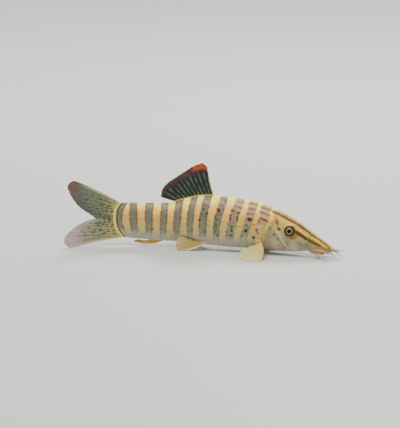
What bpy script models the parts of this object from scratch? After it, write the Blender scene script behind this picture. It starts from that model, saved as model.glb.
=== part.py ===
"""Tiger loach at life size: the solids of a still display model.

The fish is shaped straight first. There x runs along the body (snout positive), y points
to its left and z up from the floor that it rests on. At the end every mesh is bent in plan
along the backbone, which turns the head and the tail toward the fish's right, and the model
is set with the bottom centre of its box at the origin. Tables are in millimetres.
"""
import math

import bmesh
import bpy
import numpy as np
from mathutils import Vector
from mathutils.bvhtree import BVHTree

MM = 0.001
GAP = 0.3

# Length of the fish along its backbone, from the snout's tip to the tail fin's tips
SNOUT = 93.0
TAIL_TIP = -101.0

# Bend in plan: the head turns from the shoulder, the tail from behind the dorsal fin's middle
HEAD_BEND_START = 18.0
HEAD_TURN = math.radians(12)
TAIL_BEND_START = -8.0
TAIL_TURN = math.radians(34)

# Side view: back and belly, as (x, z)
BACK_LINE = (
    (-66.0, 27.5), (-63.0, 29.6), (-58.0, 31.1), (-50.0, 31.0), (-36.0, 31.5), (-24.0, 32.2),
    (-14.0, 35.2), (-5.0, 37.5), (5.0, 38.3), (18.0, 38.0), (32.0, 36.6), (44.0, 34.0),
    (54.0, 30.6), (64.0, 25.8), (72.0, 21.2), (79.0, 16.3), (85.0, 12.6), (89.5, 9.8),
    (91.8, 8.1), (92.8, 6.9), (93.0, 6.3),
)
BELLY_LINE = (
    (-66.0, 9.5), (-62.0, 7.2), (-58.0, 6.3), (-46.0, 5.2), (-30.0, 4.7), (-14.0, 4.3),
    (2.0, 3.6), (18.0, 2.9), (36.0, 2.9), (52.0, 2.5), (66.0, 3.2), (76.0, 4.4),
    (84.0, 5.3), (90.0, 5.4), (92.2, 5.6), (92.8, 5.9), (93.0, 6.3),
)
# Top view: half the breadth, as (x, y)
HALF_WIDTH = (
    (-66.0, 1.0), (-62.0, 1.8), (-58.0, 2.7), (-50.0, 4.0), (-40.0, 5.1), (-30.0, 6.0),
    (-16.0, 7.3), (0.0, 8.7), (16.0, 9.6), (32.0, 9.9), (44.0, 9.6), (54.0, 8.9),
    (64.0, 7.7), (72.0, 6.5), (80.0, 5.0), (86.0, 3.8), (90.0, 2.8), (92.0, 1.8),
    (92.8, 0.9), (93.0, 0.0),
)
# How far up the section it is widest, and how full it is above and below that level
WIDEST = ((-66.0, 0.5), (-30.0, 0.48), (20.0, 0.44), (60.0, 0.42), (93.0, 0.40))
BACK_FULLNESS = ((-66.0, 1.0), (-20.0, 1.1), (20.0, 1.2), (60.0, 1.12), (93.0, 1.0))
BELLY_FULLNESS = ((-66.0, 1.0), (-20.0, 0.9), (20.0, 0.8), (60.0, 0.85), (93.0, 1.0))

# Cuts between head, trunk and tail, and the end of the flesh at the tail fin, as (z, x)
GILL_LINE = (
    (-2.0, 48.5), (3.0, 46.0), (6.5, 44.4), (11.0, 43.7), (17.0, 44.2), (20.8, 45.5),
    (25.5, 48.2), (31.0, 49.8), (40.0, 50.5),
)
TAIL_CUT = -28.5
TAIL_FLESH_END = (
    (2.0, -56.5), (6.4, -58.5), (10.0, -61.6), (15.6, -63.9), (19.2, -64.4), (22.5, -64.3),
    (27.5, -62.9), (31.0, -60.2), (35.0, -57.8),
)

# Gill cover: its front edge as (z, x), how far its rear edge stands proud, its top and bottom
CHEEK_LINE = ((2.0, 62.0), (6.1, 60.0), (13.3, 57.0), (19.5, 53.0), (24.0, 51.0))
COVER_RISE = 1.0
COVER_BOTTOM = (2.8, 6.0)
COVER_TOP = (19.0, 22.5)

RING_SIDES = 28
HEAD_STATIONS = (93.0, 92.8, 92.2, 91.2, 89.8, 88.0, 85.6, 83.0, 80.2, 77.4, 74.6, 71.8, 69.0,
                 66.2, 63.4, 60.6, 57.8, 55.2, 52.6, 50.0, 47.4, 44.8, 42.2, 39.6)
TRUNK_STATIONS = tuple(53.0 - 4.4 * step for step in range(20))
TAIL_STATIONS = tuple(-26.0 - 3.3 * step for step in range(13))

EYE_X = 62.7
EYE_Z = 18.4
EYE_RADIUS = 3.6
EYE_HALF_DEPTH = 2.1
EYE_SINK = 0.75

# Mouth: corner, side and front points of each lip, as (x, y, z), and the slot between them
LIP_RADIUS = 1.05
UPPER_LIP = ((80.0, 3.8, 5.7), (84.5, 3.4, 5.5), (87.9, 2.1, 5.0), (89.3, 0.0, 4.9))
LOWER_LIP = ((79.6, 3.6, 5.1), (82.6, 2.9, 4.0), (84.8, 1.6, 3.5), (85.6, 0.0, 3.4))
CHIN = (79.6, 0.0, 4.7)
CHIN_RADII = (5.2, 3.2, 2.3)
MOUTH_SLOT = ((90.5, 3.0), (86.6, 4.2), (81.4, 5.2), (81.4, 5.5), (86.4, 4.7), (90.5, 3.7))

# Each nostril rim and pit, as (x, z) on the side of the snout
NOSTRILS = ((77.0, 15.6), (75.6, 16.4))
NOSTRIL_RIM = 0.9
NOSTRIL_PIT = 0.55

# Groove of the spine under the eye, as (x, z) of its ends
SPINE_GROOVE = ((68.2, 16.5), (63.8, 12.9))
SPINE_GROOVE_RADIUS = 0.55

# Fins: thickness of a ray at its root and of the membrane, how much of its height a ray
# loses toward the margin, half its width as a share of the space to the next ray, and the
# fleshy root as a share of a ray's height and of its length
FIN_RAY = 1.2
FIN_MEMBRANE = 0.5
RAY_TAPER = 0.55
RAY_HALF_WIDTH = 0.24
FIN_ROOT_FLESH = 0.7
FIN_ROOT_REACH = 0.2
DORSAL_RAYS = 12
CAUDAL_LOBE_RAYS = 9
ANAL_RAYS = 6
PECTORAL_RAYS = 11
PELVIC_RAYS = 8

BARBEL_ROOT_RADIUS = 0.75
BARBEL_TIP_RADIUS = 0.3

# Each barbel: where it aims at the skin of the head, then the points it runs through
BARBELS = {
    "rostral_inner_right": ((93.0, -1.3, 6.0), (96.3, -2.2, 6.2), (98.5, -2.9, 5.0), (99.0, -3.2, 3.4)),
    "rostral_inner_left": ((93.0, 1.3, 6.0), (96.1, 1.8, 6.1), (98.4, 2.1, 6.0), (100.3, 2.3, 5.4)),
    "rostral_outer_right": ((92.2, -2.3, 5.0), (94.4, -3.6, 4.0), (96.2, -4.3, 2.4), (97.5, -4.8, 1.1)),
    "rostral_outer_left": ((92.2, 2.3, 5.0), (94.2, 3.7, 3.9), (95.8, 4.6, 2.4), (96.8, 5.4, 1.1)),
    "maxillary_right": ((80.9, -4.9, 4.1), (84.6, -6.2, 2.2), (88.6, -7.3, 1.2), (93.6, -8.6, 1.1)),
    "maxillary_left": ((80.9, 4.9, 4.1), (84.2, 6.3, 2.3), (87.8, 7.9, 1.2), (91.8, 9.9, 1.1)),
}

FIN_TINT = (0.42, 0.40, 0.20, 1.0)
SKIN_TINT = (0.62, 0.52, 0.32, 1.0)


def smooth_line(points):
    """Return a smooth function through a table of (input, value) rows."""
    rows = np.array(sorted(points), dtype=float)
    place = rows[:, 0]
    value = rows[:, 1]
    chord = np.diff(value) / np.diff(place)
    slope = np.empty_like(value)
    slope[0] = chord[0]
    slope[-1] = chord[-1]
    for row in range(1, len(value) - 1):
        before = place[row] - place[row - 1]
        after = place[row + 1] - place[row]
        slope[row] = (chord[row - 1] * after + chord[row] * before) / (before + after)
        if chord[row - 1] * chord[row] <= 0:
            slope[row] = 0.0

    def read(at):
        at = min(max(at, place[0]), place[-1])
        row = min(int(np.searchsorted(place, at, side="right")) - 1, len(place) - 2)
        step = place[row + 1] - place[row]
        t = (at - place[row]) / step
        start = value[row] * (1 + 2 * t) * (1 - t) ** 2 + slope[row] * step * t * (1 - t) ** 2
        end = value[row + 1] * t * t * (3 - 2 * t) + slope[row + 1] * step * t * t * (t - 1)
        return float(start + end)

    return read


def smooth_path(rows):
    """Return a smooth function of 0 to 1 through rows of (place, x, y, z)."""
    axes = [smooth_line([(row[0], row[axis]) for row in rows]) for axis in (1, 2, 3)]
    return lambda place: Vector([axis(place) for axis in axes])


def ramp(value, low, high):
    """Rise smoothly from 0 at low to 1 at high."""
    t = min(max((value - low) / (high - low), 0.0), 1.0)
    return t * t * (3 - 2 * t)


back = smooth_line(BACK_LINE)
belly = smooth_line(BELLY_LINE)
half_width = smooth_line(HALF_WIDTH)
widest = smooth_line(WIDEST)
back_fullness = smooth_line(BACK_FULLNESS)
belly_fullness = smooth_line(BELLY_FULLNESS)
gill_line = smooth_line(GILL_LINE)
tail_flesh_end = smooth_line(TAIL_FLESH_END)
cheek_line = smooth_line(CHEEK_LINE)


def widest_level(x):
    """Height at which the section at x is widest."""
    return belly(x) + widest(x) * (back(x) - belly(x))


def skin_point(x, angle, cover=False):
    """Point of the skin at station x, at an angle from the left flank upward."""
    middle = widest_level(x)
    if math.sin(angle) >= 0:
        reach = back(x) - middle
        fullness = back_fullness(x)
    else:
        reach = middle - belly(x)
        fullness = belly_fullness(x)
    z = middle + reach * math.sin(angle)
    y = half_width(x) * abs(math.cos(angle)) ** fullness
    if cover:
        y += cover_rise(x, z)
    return Vector((x, math.copysign(y, math.cos(angle)), z))


def flank(x, z):
    """Half the breadth of the body at station x and height z."""
    middle = widest_level(x)
    if z >= middle:
        share = (z - middle) / (back(x) - middle)
        fullness = back_fullness(x)
    else:
        share = (middle - z) / (middle - belly(x))
        fullness = belly_fullness(x)
    return half_width(x) * max(1.0 - share * share, 0.0) ** (0.5 * fullness)


def flank_normal(x, z, side):
    """Direction that the flank faces at station x and height z."""
    along = (flank(x + 0.5, z) - flank(x - 0.5, z))
    upward = (flank(x, z + 0.5) - flank(x, z - 0.5))
    return Vector((-along, side, -upward)).normalized()


def cover_rise(x, z):
    """How far the gill cover lifts the skin of the head, most at its free rear edge."""
    share = (cheek_line(z) - x) / (cheek_line(z) - gill_line(z))
    height = ramp(z, *COVER_BOTTOM) * (1.0 - ramp(z, *COVER_TOP))
    return COVER_RISE * ramp(share, 0.0, 0.9) * height


def backbone(samples=4000):
    """Plan curve of the bent backbone, as arrays of station, x, y and heading."""
    stations = np.linspace(TAIL_TIP - 12.0, SNOUT + 15.0, samples)
    head = np.clip((stations - HEAD_BEND_START) / (SNOUT - HEAD_BEND_START), 0.0, None)
    tail = np.clip((TAIL_BEND_START - stations) / (TAIL_BEND_START - TAIL_TIP), 0.0, None)
    heading = TAIL_TURN * tail ** 1.5 - HEAD_TURN * head
    middle = 0.5 * (heading[1:] + heading[:-1])
    step = np.diff(stations)
    along = np.concatenate([[0.0], np.cumsum(np.cos(middle) * step)])
    across = np.concatenate([[0.0], np.cumsum(np.sin(middle) * step)])
    along -= np.interp(0.0, stations, along)
    across -= np.interp(0.0, stations, across)
    return stations, along, across, heading


BACKBONE = backbone()


def bend(point):
    """Carry a point of the straight fish, in metres, onto the bent backbone."""
    stations, along, across, heading = BACKBONE
    station = point.x / MM
    turn = float(np.interp(station, stations, heading))
    x = float(np.interp(station, stations, along)) * MM - point.y * math.sin(turn)
    y = float(np.interp(station, stations, across)) * MM + point.y * math.cos(turn)
    return Vector((x, y, point.z))


def new_collection(name):
    """Link an empty collection to the scene."""
    collection = bpy.data.collections.new(name)
    bpy.context.scene.collection.children.link(collection)
    return collection


def new_material(name, color, roughness):
    """Principled material of one plain colour."""
    material = bpy.data.materials.new(name)
    material.use_nodes = True
    shader = material.node_tree.nodes["Principled BSDF"]
    shader.inputs["Base Color"].default_value = color
    shader.inputs["Roughness"].default_value = roughness
    shader.inputs["Metallic"].default_value = 0.0
    return material


def new_object(name, bm, collection):
    """Make an object of a bmesh whose sizes are in millimetres."""
    for vertex in bm.verts:
        vertex.co *= MM
    mesh = bpy.data.meshes.new(name)
    bm.to_mesh(mesh)
    bm.free()
    obj = bpy.data.objects.new(name, mesh)
    collection.objects.link(obj)
    return obj


def new_cutter(name, bm):
    """Make a tool object that is left out of the model."""
    obj = new_object(name, bm, TOOLS)
    obj.hide_render = True
    obj.display_type = "WIRE"
    return obj


def evaluated_mesh(obj):
    """Mesh of an object with its modifiers."""
    bpy.context.view_layer.update()
    return bpy.data.meshes.new_from_object(obj.evaluated_get(bpy.context.evaluated_depsgraph_get()))


def replace_mesh(obj, mesh):
    """Give an object the mesh that its modifiers made, and clear them."""
    old = obj.data
    obj.modifiers.clear()
    obj.data = mesh
    bpy.data.meshes.remove(old)


def face_outward(mesh):
    """Turn the faces of a closed mesh outward."""
    bm = bmesh.new()
    bm.from_mesh(mesh)
    bmesh.ops.recalc_face_normals(bm, faces=bm.faces)
    bm.to_mesh(mesh)
    bm.free()


def boolean(obj, tool, operation, solver="EXACT"):
    """Cut or join an object with another object, or a collection of them, and apply it."""
    modifier = obj.modifiers.new(operation.title(), "BOOLEAN")
    modifier.operation = operation
    modifier.solver = solver
    if isinstance(tool, bpy.types.Collection):
        modifier.operand_type = "COLLECTION"
        modifier.collection = tool
    else:
        modifier.object = tool
    replace_mesh(obj, evaluated_mesh(obj))


def skin_tree(mesh):
    """Search tree of a mesh."""
    bm = bmesh.new()
    bm.from_mesh(mesh)
    tree = BVHTree.FromBMesh(bm)
    bm.free()
    return tree


def keep_largest_shell(mesh):
    """Drop every surface of a mesh but the largest."""
    bm = bmesh.new()
    bm.from_mesh(mesh)
    waiting = set(bm.faces)
    shells = []
    while waiting:
        shell = [waiting.pop()]
        for face in shell:
            for edge in face.edges:
                for other in edge.link_faces:
                    if other in waiting:
                        waiting.remove(other)
                        shell.append(other)
        shells.append(shell)
    shells.sort(key=lambda shell: sum(face.calc_area() for face in shell))
    for shell in shells[:-1]:
        bmesh.ops.delete(bm, geom=shell, context="FACES")
    loose = [vertex for vertex in bm.verts if not vertex.link_faces]
    bmesh.ops.delete(bm, geom=loose, context="VERTS")
    bmesh.ops.remove_doubles(bm, verts=bm.verts, dist=0.002 * MM)
    bmesh.ops.dissolve_degenerate(bm, edges=bm.edges, dist=0.002 * MM)
    bmesh.ops.triangulate(bm, faces=bm.faces)
    bm.to_mesh(mesh)
    bm.free()


def finish_part(obj, material):
    """Settle a part's mesh, bend it along the backbone and dress it."""
    mesh = evaluated_mesh(obj)
    keep_largest_shell(mesh)
    for vertex in mesh.vertices:
        vertex.co = bend(vertex.co)
    replace_mesh(obj, mesh)
    mesh.materials.clear()
    mesh.materials.append(material)
    mesh.shade_smooth()
    mesh.set_sharp_from_angle(angle=math.radians(40))


def loft(stations, cover=False):
    """Skin of the body over a run of stations, closed at both ends, as a bmesh."""
    bm = bmesh.new()
    rings = []
    for x in stations:
        if half_width(x) < 0.01:
            rings.append([bm.verts.new(Vector((x, 0.0, widest_level(x))))])
            continue
        angles = [2 * math.pi * side / RING_SIDES for side in range(RING_SIDES)]
        rings.append([bm.verts.new(skin_point(x, angle, cover)) for angle in angles])
    for before, after in zip(rings, rings[1:]):
        for side in range(RING_SIDES):
            following = (side + 1) % RING_SIDES
            if len(before) == 1:
                bm.faces.new((before[0], after[side], after[following]))
            else:
                bm.faces.new((before[side], after[side], after[following], before[following]))
    for ring in (rings[0], rings[-1]):
        if len(ring) > 1:
            bm.faces.new(ring)
    bmesh.ops.recalc_face_normals(bm, faces=bm.faces)
    bmesh.ops.triangulate(bm, faces=bm.faces)
    return bm


def prism(name, outline, half_depth):
    """Cutter with a flat outline in side view, which runs across the body."""
    bm = bmesh.new()
    face = bm.faces.new([bm.verts.new((x, -half_depth, z)) for x, z in outline])
    grown = bmesh.ops.extrude_face_region(bm, geom=[face])
    moved = [item for item in grown["geom"] if isinstance(item, bmesh.types.BMVert)]
    bmesh.ops.translate(bm, verts=moved, vec=(0.0, 2 * half_depth, 0.0))
    bmesh.ops.recalc_face_normals(bm, faces=bm.faces)
    return new_cutter(name, bm)


def beyond_line(name, line, low, high, offset, far):
    """Cutter for all of one side of a line of (z, x), as far as x equal to far."""
    levels = np.linspace(low, high, 17)
    outline = [(line(z) + offset, z) for z in levels]
    outline += [(far, high), (far, low)]
    return prism(name, outline, 30.0)


def ellipsoid(name, centre, radii, axes=None, segments=16, rings=8):
    """Closed ellipsoid tool with its second radius along the second of its axes."""
    bm = bmesh.new()
    bmesh.ops.create_uvsphere(bm, u_segments=segments, v_segments=rings, radius=1.0)
    if axes is None:
        axes = (Vector((1, 0, 0)), Vector((0, 1, 0)), Vector((0, 0, 1)))
    for vertex in bm.verts:
        local = vertex.co.copy()
        vertex.co = Vector(centre)
        for axis, radius, share in zip(axes, radii, local):
            vertex.co += axis * radius * share
    return new_cutter(name, bm)


def facing_axes(normal):
    """Three axes of a disc that faces along a normal: forward, outward and up."""
    outward = normal.normalized()
    forward = Vector((1, 0, 0)) - outward * outward.x
    forward.normalize()
    return forward, outward, forward.cross(outward)


def tube(name, rows, radii, collection, sides=2, samples=8):
    """Round bar of changing radius through a few points, with closed ends."""
    run = [0.0]
    for before, after in zip(rows, rows[1:]):
        run.append(run[-1] + math.dist(before, after))
    path = smooth_path([(length / run[-1], *row) for length, row in zip(run, rows)])
    thickness = smooth_line([(index / (len(radii) - 1), r) for index, r in enumerate(radii)])
    curve = bpy.data.curves.new(name, "CURVE")
    curve.dimensions = "3D"
    curve.bevel_depth = MM
    curve.bevel_resolution = sides
    curve.use_fill_caps = True
    spline = curve.splines.new("POLY")
    spline.points.add(samples)
    for index, point in enumerate(spline.points):
        share = index / samples
        point.co = (*(path(share) * MM), 1.0)
        point.radius = thickness(share)
    guide = bpy.data.objects.new(name + "_guide", curve)
    TOOLS.objects.link(guide)
    mesh = evaluated_mesh(guide)
    bpy.data.objects.remove(guide)
    bm = bmesh.new()
    bm.from_mesh(mesh)
    bmesh.ops.remove_doubles(bm, verts=bm.verts, dist=0.01 * MM)
    bmesh.ops.triangulate(bm, faces=bm.faces)
    bm.to_mesh(mesh)
    bm.free()
    obj = bpy.data.objects.new(name, mesh)
    collection.objects.link(obj)
    return obj


def ray_columns(rays):
    """Places of the columns across a fin, each with the share of a ray that it carries.

    A ray is a crest between two edges that lie level with the membrane.
    """
    spacing = 1.0 / (rays - 1)
    edge = RAY_HALF_WIDTH * spacing
    columns = []
    for ray in range(rays):
        crest = min(ray * spacing, 1.0)
        if ray > 0:
            columns.append((crest - edge, 0.0))
        columns.append((crest, 1.0))
        if ray < rays - 1:
            columns.append((crest + edge, 0.0))
    return columns


def fin(name, base, margin, bow, rays, rows):
    """Fin whose rays are ridges in its two faces, cut flat where it meets the floor.

    base and margin are functions of the place across the fin, from its leading ray at 0
    to its last ray at 1, and bow moves the middle of each ray.
    """
    columns = ray_columns(rays)
    bm = bmesh.new()
    bmesh.ops.create_grid(bm, x_segments=len(columns) - 1, y_segments=rows, size=0.5)
    lowest = 0.0
    crests = []
    for vertex in bm.verts:
        across, share = columns[round((vertex.co.x + 0.5) * (len(columns) - 1))]
        out = vertex.co.y + 0.5
        place = base(across).lerp(margin(across), out) + bow(across) * 4 * out * (1 - out)
        vertex.co = place
        lowest = min(lowest, place.z)
        flesh = FIN_ROOT_FLESH * (1.0 - ramp(out, 0.0, FIN_ROOT_REACH))
        crests.append(max(share * (1.0 - RAY_TAPER * out), flesh))
    bmesh.ops.triangulate(bm, faces=bm.faces, quad_method="FIXED")
    obj = new_object(name, bm, FISH)
    group = obj.vertex_groups.new(name="rays")
    for index, crest in enumerate(crests):
        group.add([index], crest, "REPLACE")
    solidify = obj.modifiers.new("Solidify", "SOLIDIFY")
    solidify.thickness = FIN_RAY * MM
    solidify.offset = 0.0
    solidify.vertex_group = group.name
    solidify.thickness_vertex_group = FIN_MEMBRANE / FIN_RAY
    replace_mesh(obj, evaluated_mesh(obj))
    face_outward(obj.data)
    if lowest < 0.0:
        boolean(obj, FLOOR, "DIFFERENCE", "MANIFOLD")
    finish_part(obj, FIN)


def mirrored(function, side):
    """The same function of a point, on the fish's left (1) or right (-1)."""
    return lambda across: Vector((1, side, 1)) * function(across)


def make_head():
    """Head with gill covers, lips, nostrils, eye sockets and the groove under each eye.

    Returns the tree of its skin before the bend, on which the barbels are set.
    """
    head = new_object("head", loft(HEAD_STATIONS, cover=True), FISH)
    joined = new_collection("head_pieces")
    for name, rows in (("upper_lip", UPPER_LIP), ("lower_lip", LOWER_LIP)):
        across = [row for row in rows] + [(x, -y, z) for x, y, z in reversed(rows[:-1])]
        radii = (0.7 * LIP_RADIUS, LIP_RADIUS, LIP_RADIUS, LIP_RADIUS, 0.7 * LIP_RADIUS)
        tube(name, across, radii, joined, samples=14)
    chin = ellipsoid("chin", CHIN, CHIN_RADII)
    joined.objects.link(chin)
    for side, tag in ((1, "left"), (-1, "right")):
        for number, (x, z) in enumerate(NOSTRILS):
            centre = Vector((x, side * flank(x, z), z))
            axes = facing_axes(flank_normal(x, z, side))
            radii = (NOSTRIL_RIM, 0.45, NOSTRIL_RIM)
            rim = ellipsoid(f"nostril_rim_{tag}_{number}", centre, radii, axes, 10, 6)
            joined.objects.link(rim)
    boolean(head, joined, "UNION")
    for obj in list(joined.objects):
        bpy.data.objects.remove(obj)

    cuts = new_collection("head_cuts")
    cuts.objects.link(beyond_line("behind_gills", gill_line, -4.0, 44.0, 0.0, 20.0))
    cuts.objects.link(prism("mouth_slot", MOUTH_SLOT, 6.0))
    for side, tag in ((1, "left"), (-1, "right")):
        centre, axes = eye_seat(side)
        socket = [EYE_RADIUS + GAP, EYE_HALF_DEPTH + GAP, EYE_RADIUS + GAP]
        cuts.objects.link(ellipsoid(f"socket_{tag}", centre, socket, axes, 20, 10))
        for number, (x, z) in enumerate(NOSTRILS):
            normal = flank_normal(x, z, side)
            centre = Vector((x, side * flank(x, z), z)) + normal * 0.35
            radii = (NOSTRIL_PIT, 0.9, NOSTRIL_PIT)
            pit = ellipsoid(f"nostril_pit_{tag}_{number}", centre, radii, facing_axes(normal), 8, 6)
            cuts.objects.link(pit)
        ends = [Vector((x, side * flank(x, z), z)) for x, z in SPINE_GROOVE]
        centre = (ends[0] + ends[1]) / 2
        centre.y = side * flank(centre.x, centre.z)
        forward = (ends[0] - ends[1]).normalized()
        outward = flank_normal(centre.x, centre.z, side)
        outward = (outward - forward * outward.dot(forward)).normalized()
        axes = (forward, outward, forward.cross(outward))
        radii = ((ends[0] - ends[1]).length / 2, 0.7, SPINE_GROOVE_RADIUS)
        cuts.objects.link(ellipsoid(f"spine_groove_{tag}", centre, radii, axes, 10, 6))
    boolean(head, cuts, "DIFFERENCE")
    skin = skin_tree(head.data)
    finish_part(head, SKIN)
    return skin


def make_trunk_and_tail():
    """Trunk from the gills to the anal fin, and tail from there to the tail fin's root."""
    trunk = new_object("trunk", loft(TRUNK_STATIONS), FISH)
    cuts = new_collection("trunk_cuts")
    cuts.objects.link(beyond_line("before_gills", gill_line, -4.0, 44.0, -GAP, 70.0))
    rear = TAIL_CUT + GAP / 2
    cuts.objects.link(prism("behind_trunk", ((rear, -5), (rear, 45), (-60, 45), (-60, -5)), 30.0))
    boolean(trunk, cuts, "DIFFERENCE")
    finish_part(trunk, SKIN)

    tail = new_object("tail", loft(TAIL_STATIONS), FISH)
    cuts = new_collection("tail_cuts")
    front = TAIL_CUT - GAP / 2
    cuts.objects.link(prism("before_tail", ((front, -5), (0, -5), (0, 45), (front, 45)), 30.0))
    cuts.objects.link(beyond_line("tail_end", tail_flesh_end, 2.0, 35.0, 0.0, -80.0))
    boolean(tail, cuts, "DIFFERENCE")
    finish_part(tail, SKIN)


def eye_seat(side):
    """Centre and axes of an eye, a little inside the skin and facing along it."""
    normal = flank_normal(EYE_X, EYE_Z, side)
    centre = Vector((EYE_X, side * flank(EYE_X, EYE_Z), EYE_Z)) - normal * EYE_SINK
    return centre, facing_axes(normal)


def make_eye(side, tag):
    """Eyeball as a flattened ball in its socket."""
    centre, axes = eye_seat(side)
    eye = ellipsoid(f"eye_{tag}", centre, (EYE_RADIUS, EYE_HALF_DEPTH, EYE_RADIUS), axes, 20, 10)
    TOOLS.objects.unlink(eye)
    FISH.objects.link(eye)
    eye.hide_render = False
    eye.display_type = "TEXTURED"
    finish_part(eye, EYE)


def make_dorsal_fin():
    """Tall front rays that shorten toward the rear and lean back in a fan."""
    front, rear = 5.6, -22.0

    def base(across):
        x = front + (rear - front) * across
        return Vector((x, 0.0, back(x) + GAP))

    margin = smooth_path((
        (0.0, 0.8, 0.0, 58.8), (0.07, -2.4, 0.0, 61.2), (0.2, -7.9, 0.0, 59.4),
        (0.4, -14.8, 0.0, 55.0), (0.6, -21.6, 0.0, 50.2), (0.8, -28.4, 0.0, 45.1),
        (0.92, -31.6, 0.0, 40.4), (1.0, -32.4, 0.0, 35.6),
    ))
    fin("dorsal_fin", base, margin, lambda across: Vector((-0.5, 0.0, 0.0)), DORSAL_RAYS, 6)


def make_caudal_fins():
    """Upper and lower lobes of the tail fin, which meet at the fork."""
    def root(low, high):
        def base(across):
            z = low + (high - low) * across
            return Vector((tail_flesh_end(z) - GAP, 0.0, z))
        return base

    upper = smooth_path((
        (0.0, -93.4, 0.0, 47.8), (0.05, -96.8, 0.0, 46.6), (0.12, -98.2, 0.0, 43.4),
        (0.22, -96.8, 0.0, 39.0),
        (0.38, -94.2, 0.0, 34.2), (0.56, -90.1, 0.0, 28.9), (0.75, -85.4, 0.0, 25.2),
        (0.9, -80.9, 0.0, 22.0), (1.0, -78.4, 0.0, 20.2),
    ))
    fin("caudal_fin_upper", root(30.8, 19.3), upper,
        lambda across: Vector((0.0, 0.0, 0.9 * (1 - across))), CAUDAL_LOBE_RAYS, 7)
    lower = smooth_path((
        (0.0, -78.4, 0.0, 19.8), (0.12, -83.0, 0.0, 19.1), (0.3, -88.2, 0.0, 17.2),
        (0.5, -94.4, 0.0, 13.5), (0.7, -98.9, 0.0, 9.8), (0.85, -101.0, 0.0, 6.0),
        (0.94, -100.3, 0.0, 2.0), (1.0, -96.5, 0.0, -0.5),
    ))
    fin("caudal_fin_lower", root(18.9, 6.2), lower,
        lambda across: Vector((0.0, 0.0, 0.3 * across)), CAUDAL_LOBE_RAYS, 7)


def make_anal_fin():
    """Short fin folded back under the tail."""
    front, rear = -31.0, -40.5

    def base(across):
        x = front + (rear - front) * across
        return Vector((x, 0.0, belly(x) - GAP))

    margin = smooth_path((
        (0.0, -50.6, 0.0, 4.0), (0.25, -51.8, 0.0, 4.3), (0.6, -50.4, 0.0, 4.55),
        (1.0, -48.2, 0.0, 4.8),
    ))
    fin("anal_fin", base, margin, lambda across: Vector((0.0, 0.0, -1.1 + 0.7 * across)),
        ANAL_RAYS, 5)


def make_pectoral_fin(side, tag):
    """Fan that spreads out from behind the gill cover and rests on the floor by its margin."""
    def base(across):
        x = 42.4 - 3.8 * across
        z = 10.0 - 3.2 * across
        return Vector((x, flank(x, z) + GAP, z))

    margin = smooth_path((
        (0.0, 47.6, 21.0, 1.6), (0.1, 47.0, 25.0, -0.3), (0.22, 44.6, 27.8, -0.6),
        (0.34, 41.2, 28.8, -0.6), (0.55, 35.4, 26.6, -0.6), (0.74, 30.5, 23.0, -0.5),
        (0.9, 27.0, 18.6, 0.6), (1.0, 27.2, 14.8, 2.2),
    ))
    bow = Vector((0.8, 0.0, 1.2))
    fin(f"pectoral_fin_{tag}", mirrored(base, side), mirrored(margin, side),
        lambda across: bow, PECTORAL_RAYS, 6)


def make_pelvic_fin(side, tag):
    """Fan beside the belly that props on the floor by its leading ray."""
    def base(across):
        x = 1.6 - 4.8 * across
        z = 5.6 + 0.6 * across
        return Vector((x, flank(x, z) + FIN_RAY / 2 + GAP, z))

    margin = smooth_path((
        (0.0, -14.0, 9.6, -0.7), (0.14, -17.4, 10.0, 0.2), (0.4, -19.4, 9.8, 3.4),
        (0.7, -19.0, 9.0, 7.2), (0.9, -17.4, 8.4, 9.6), (1.0, -15.6, 8.0, 9.5),
    ))
    fin(f"pelvic_fin_{tag}", mirrored(base, side), mirrored(margin, side),
        lambda across: Vector((0.0, 0.6 * side, -0.6 + 0.8 * across)), PELVIC_RAYS, 6)


def make_barbels(head_skin):
    """Three pairs of feelers: two on the snout and one at the corners of the mouth."""
    for name, (aim, *rows) in BARBELS.items():
        hit, normal = head_skin.find_nearest(Vector(aim) * MM)[:2]
        root = hit / MM + normal * (GAP + 0.05)
        rows = [tuple(root), tuple(root + normal * 0.5 * BARBEL_ROOT_RADIUS)] + rows
        radii = (BARBEL_ROOT_RADIUS, 0.8 * BARBEL_ROOT_RADIUS, BARBEL_TIP_RADIUS)
        finish_part(tube(f"barbel_{name}", rows, radii, FISH, samples=8), SKIN)


def set_on_origin(collection):
    """Move every part so that the bottom centre of the whole box is the origin."""
    points = [vertex.co for obj in collection.objects for vertex in obj.data.vertices]
    low = Vector([min(point[axis] for point in points) for axis in range(3)])
    high = Vector([max(point[axis] for point in points) for axis in range(3)])
    shift = Vector(((low.x + high.x) / 2, (low.y + high.y) / 2, low.z))
    for obj in collection.objects:
        for vertex in obj.data.vertices:
            vertex.co -= shift


for leftover in list(bpy.data.objects):
    bpy.data.objects.remove(leftover)

FISH = new_collection("tiger_loach")
TOOLS = new_collection("tools")
SKIN = new_material("skin", SKIN_TINT, 0.35)
FIN = new_material("fin", FIN_TINT, 0.4)
EYE = new_material("eye", (0.03, 0.03, 0.03, 1.0), 0.1)
FLOOR = prism("floor", ((-140, -20), (140, -20), (140, 0), (-140, 0)), 60.0)

head_skin_tree = make_head()
make_trunk_and_tail()
make_dorsal_fin()
make_caudal_fins()
make_anal_fin()
for fish_side, side_name in ((1, "left"), (-1, "right")):
    make_eye(fish_side, side_name)
    make_pectoral_fin(fish_side, side_name)
    make_pelvic_fin(fish_side, side_name)
make_barbels(head_skin_tree)
set_on_origin(FISH)
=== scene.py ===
"""Tiger loach at life size: the looks of a still display model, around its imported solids.

The fish is shaped straight first, in millimetres: x runs along the body with the snout
positive, y points to its left and z up from the floor. Each point is then bent in plan along
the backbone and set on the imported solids. The curves of the body and of the fins are those of
the solids, so that each piece lies where its solid does.
"""
import logging
import math
from dataclasses import dataclass
from enum import Enum
from typing import Callable, Sequence

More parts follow.
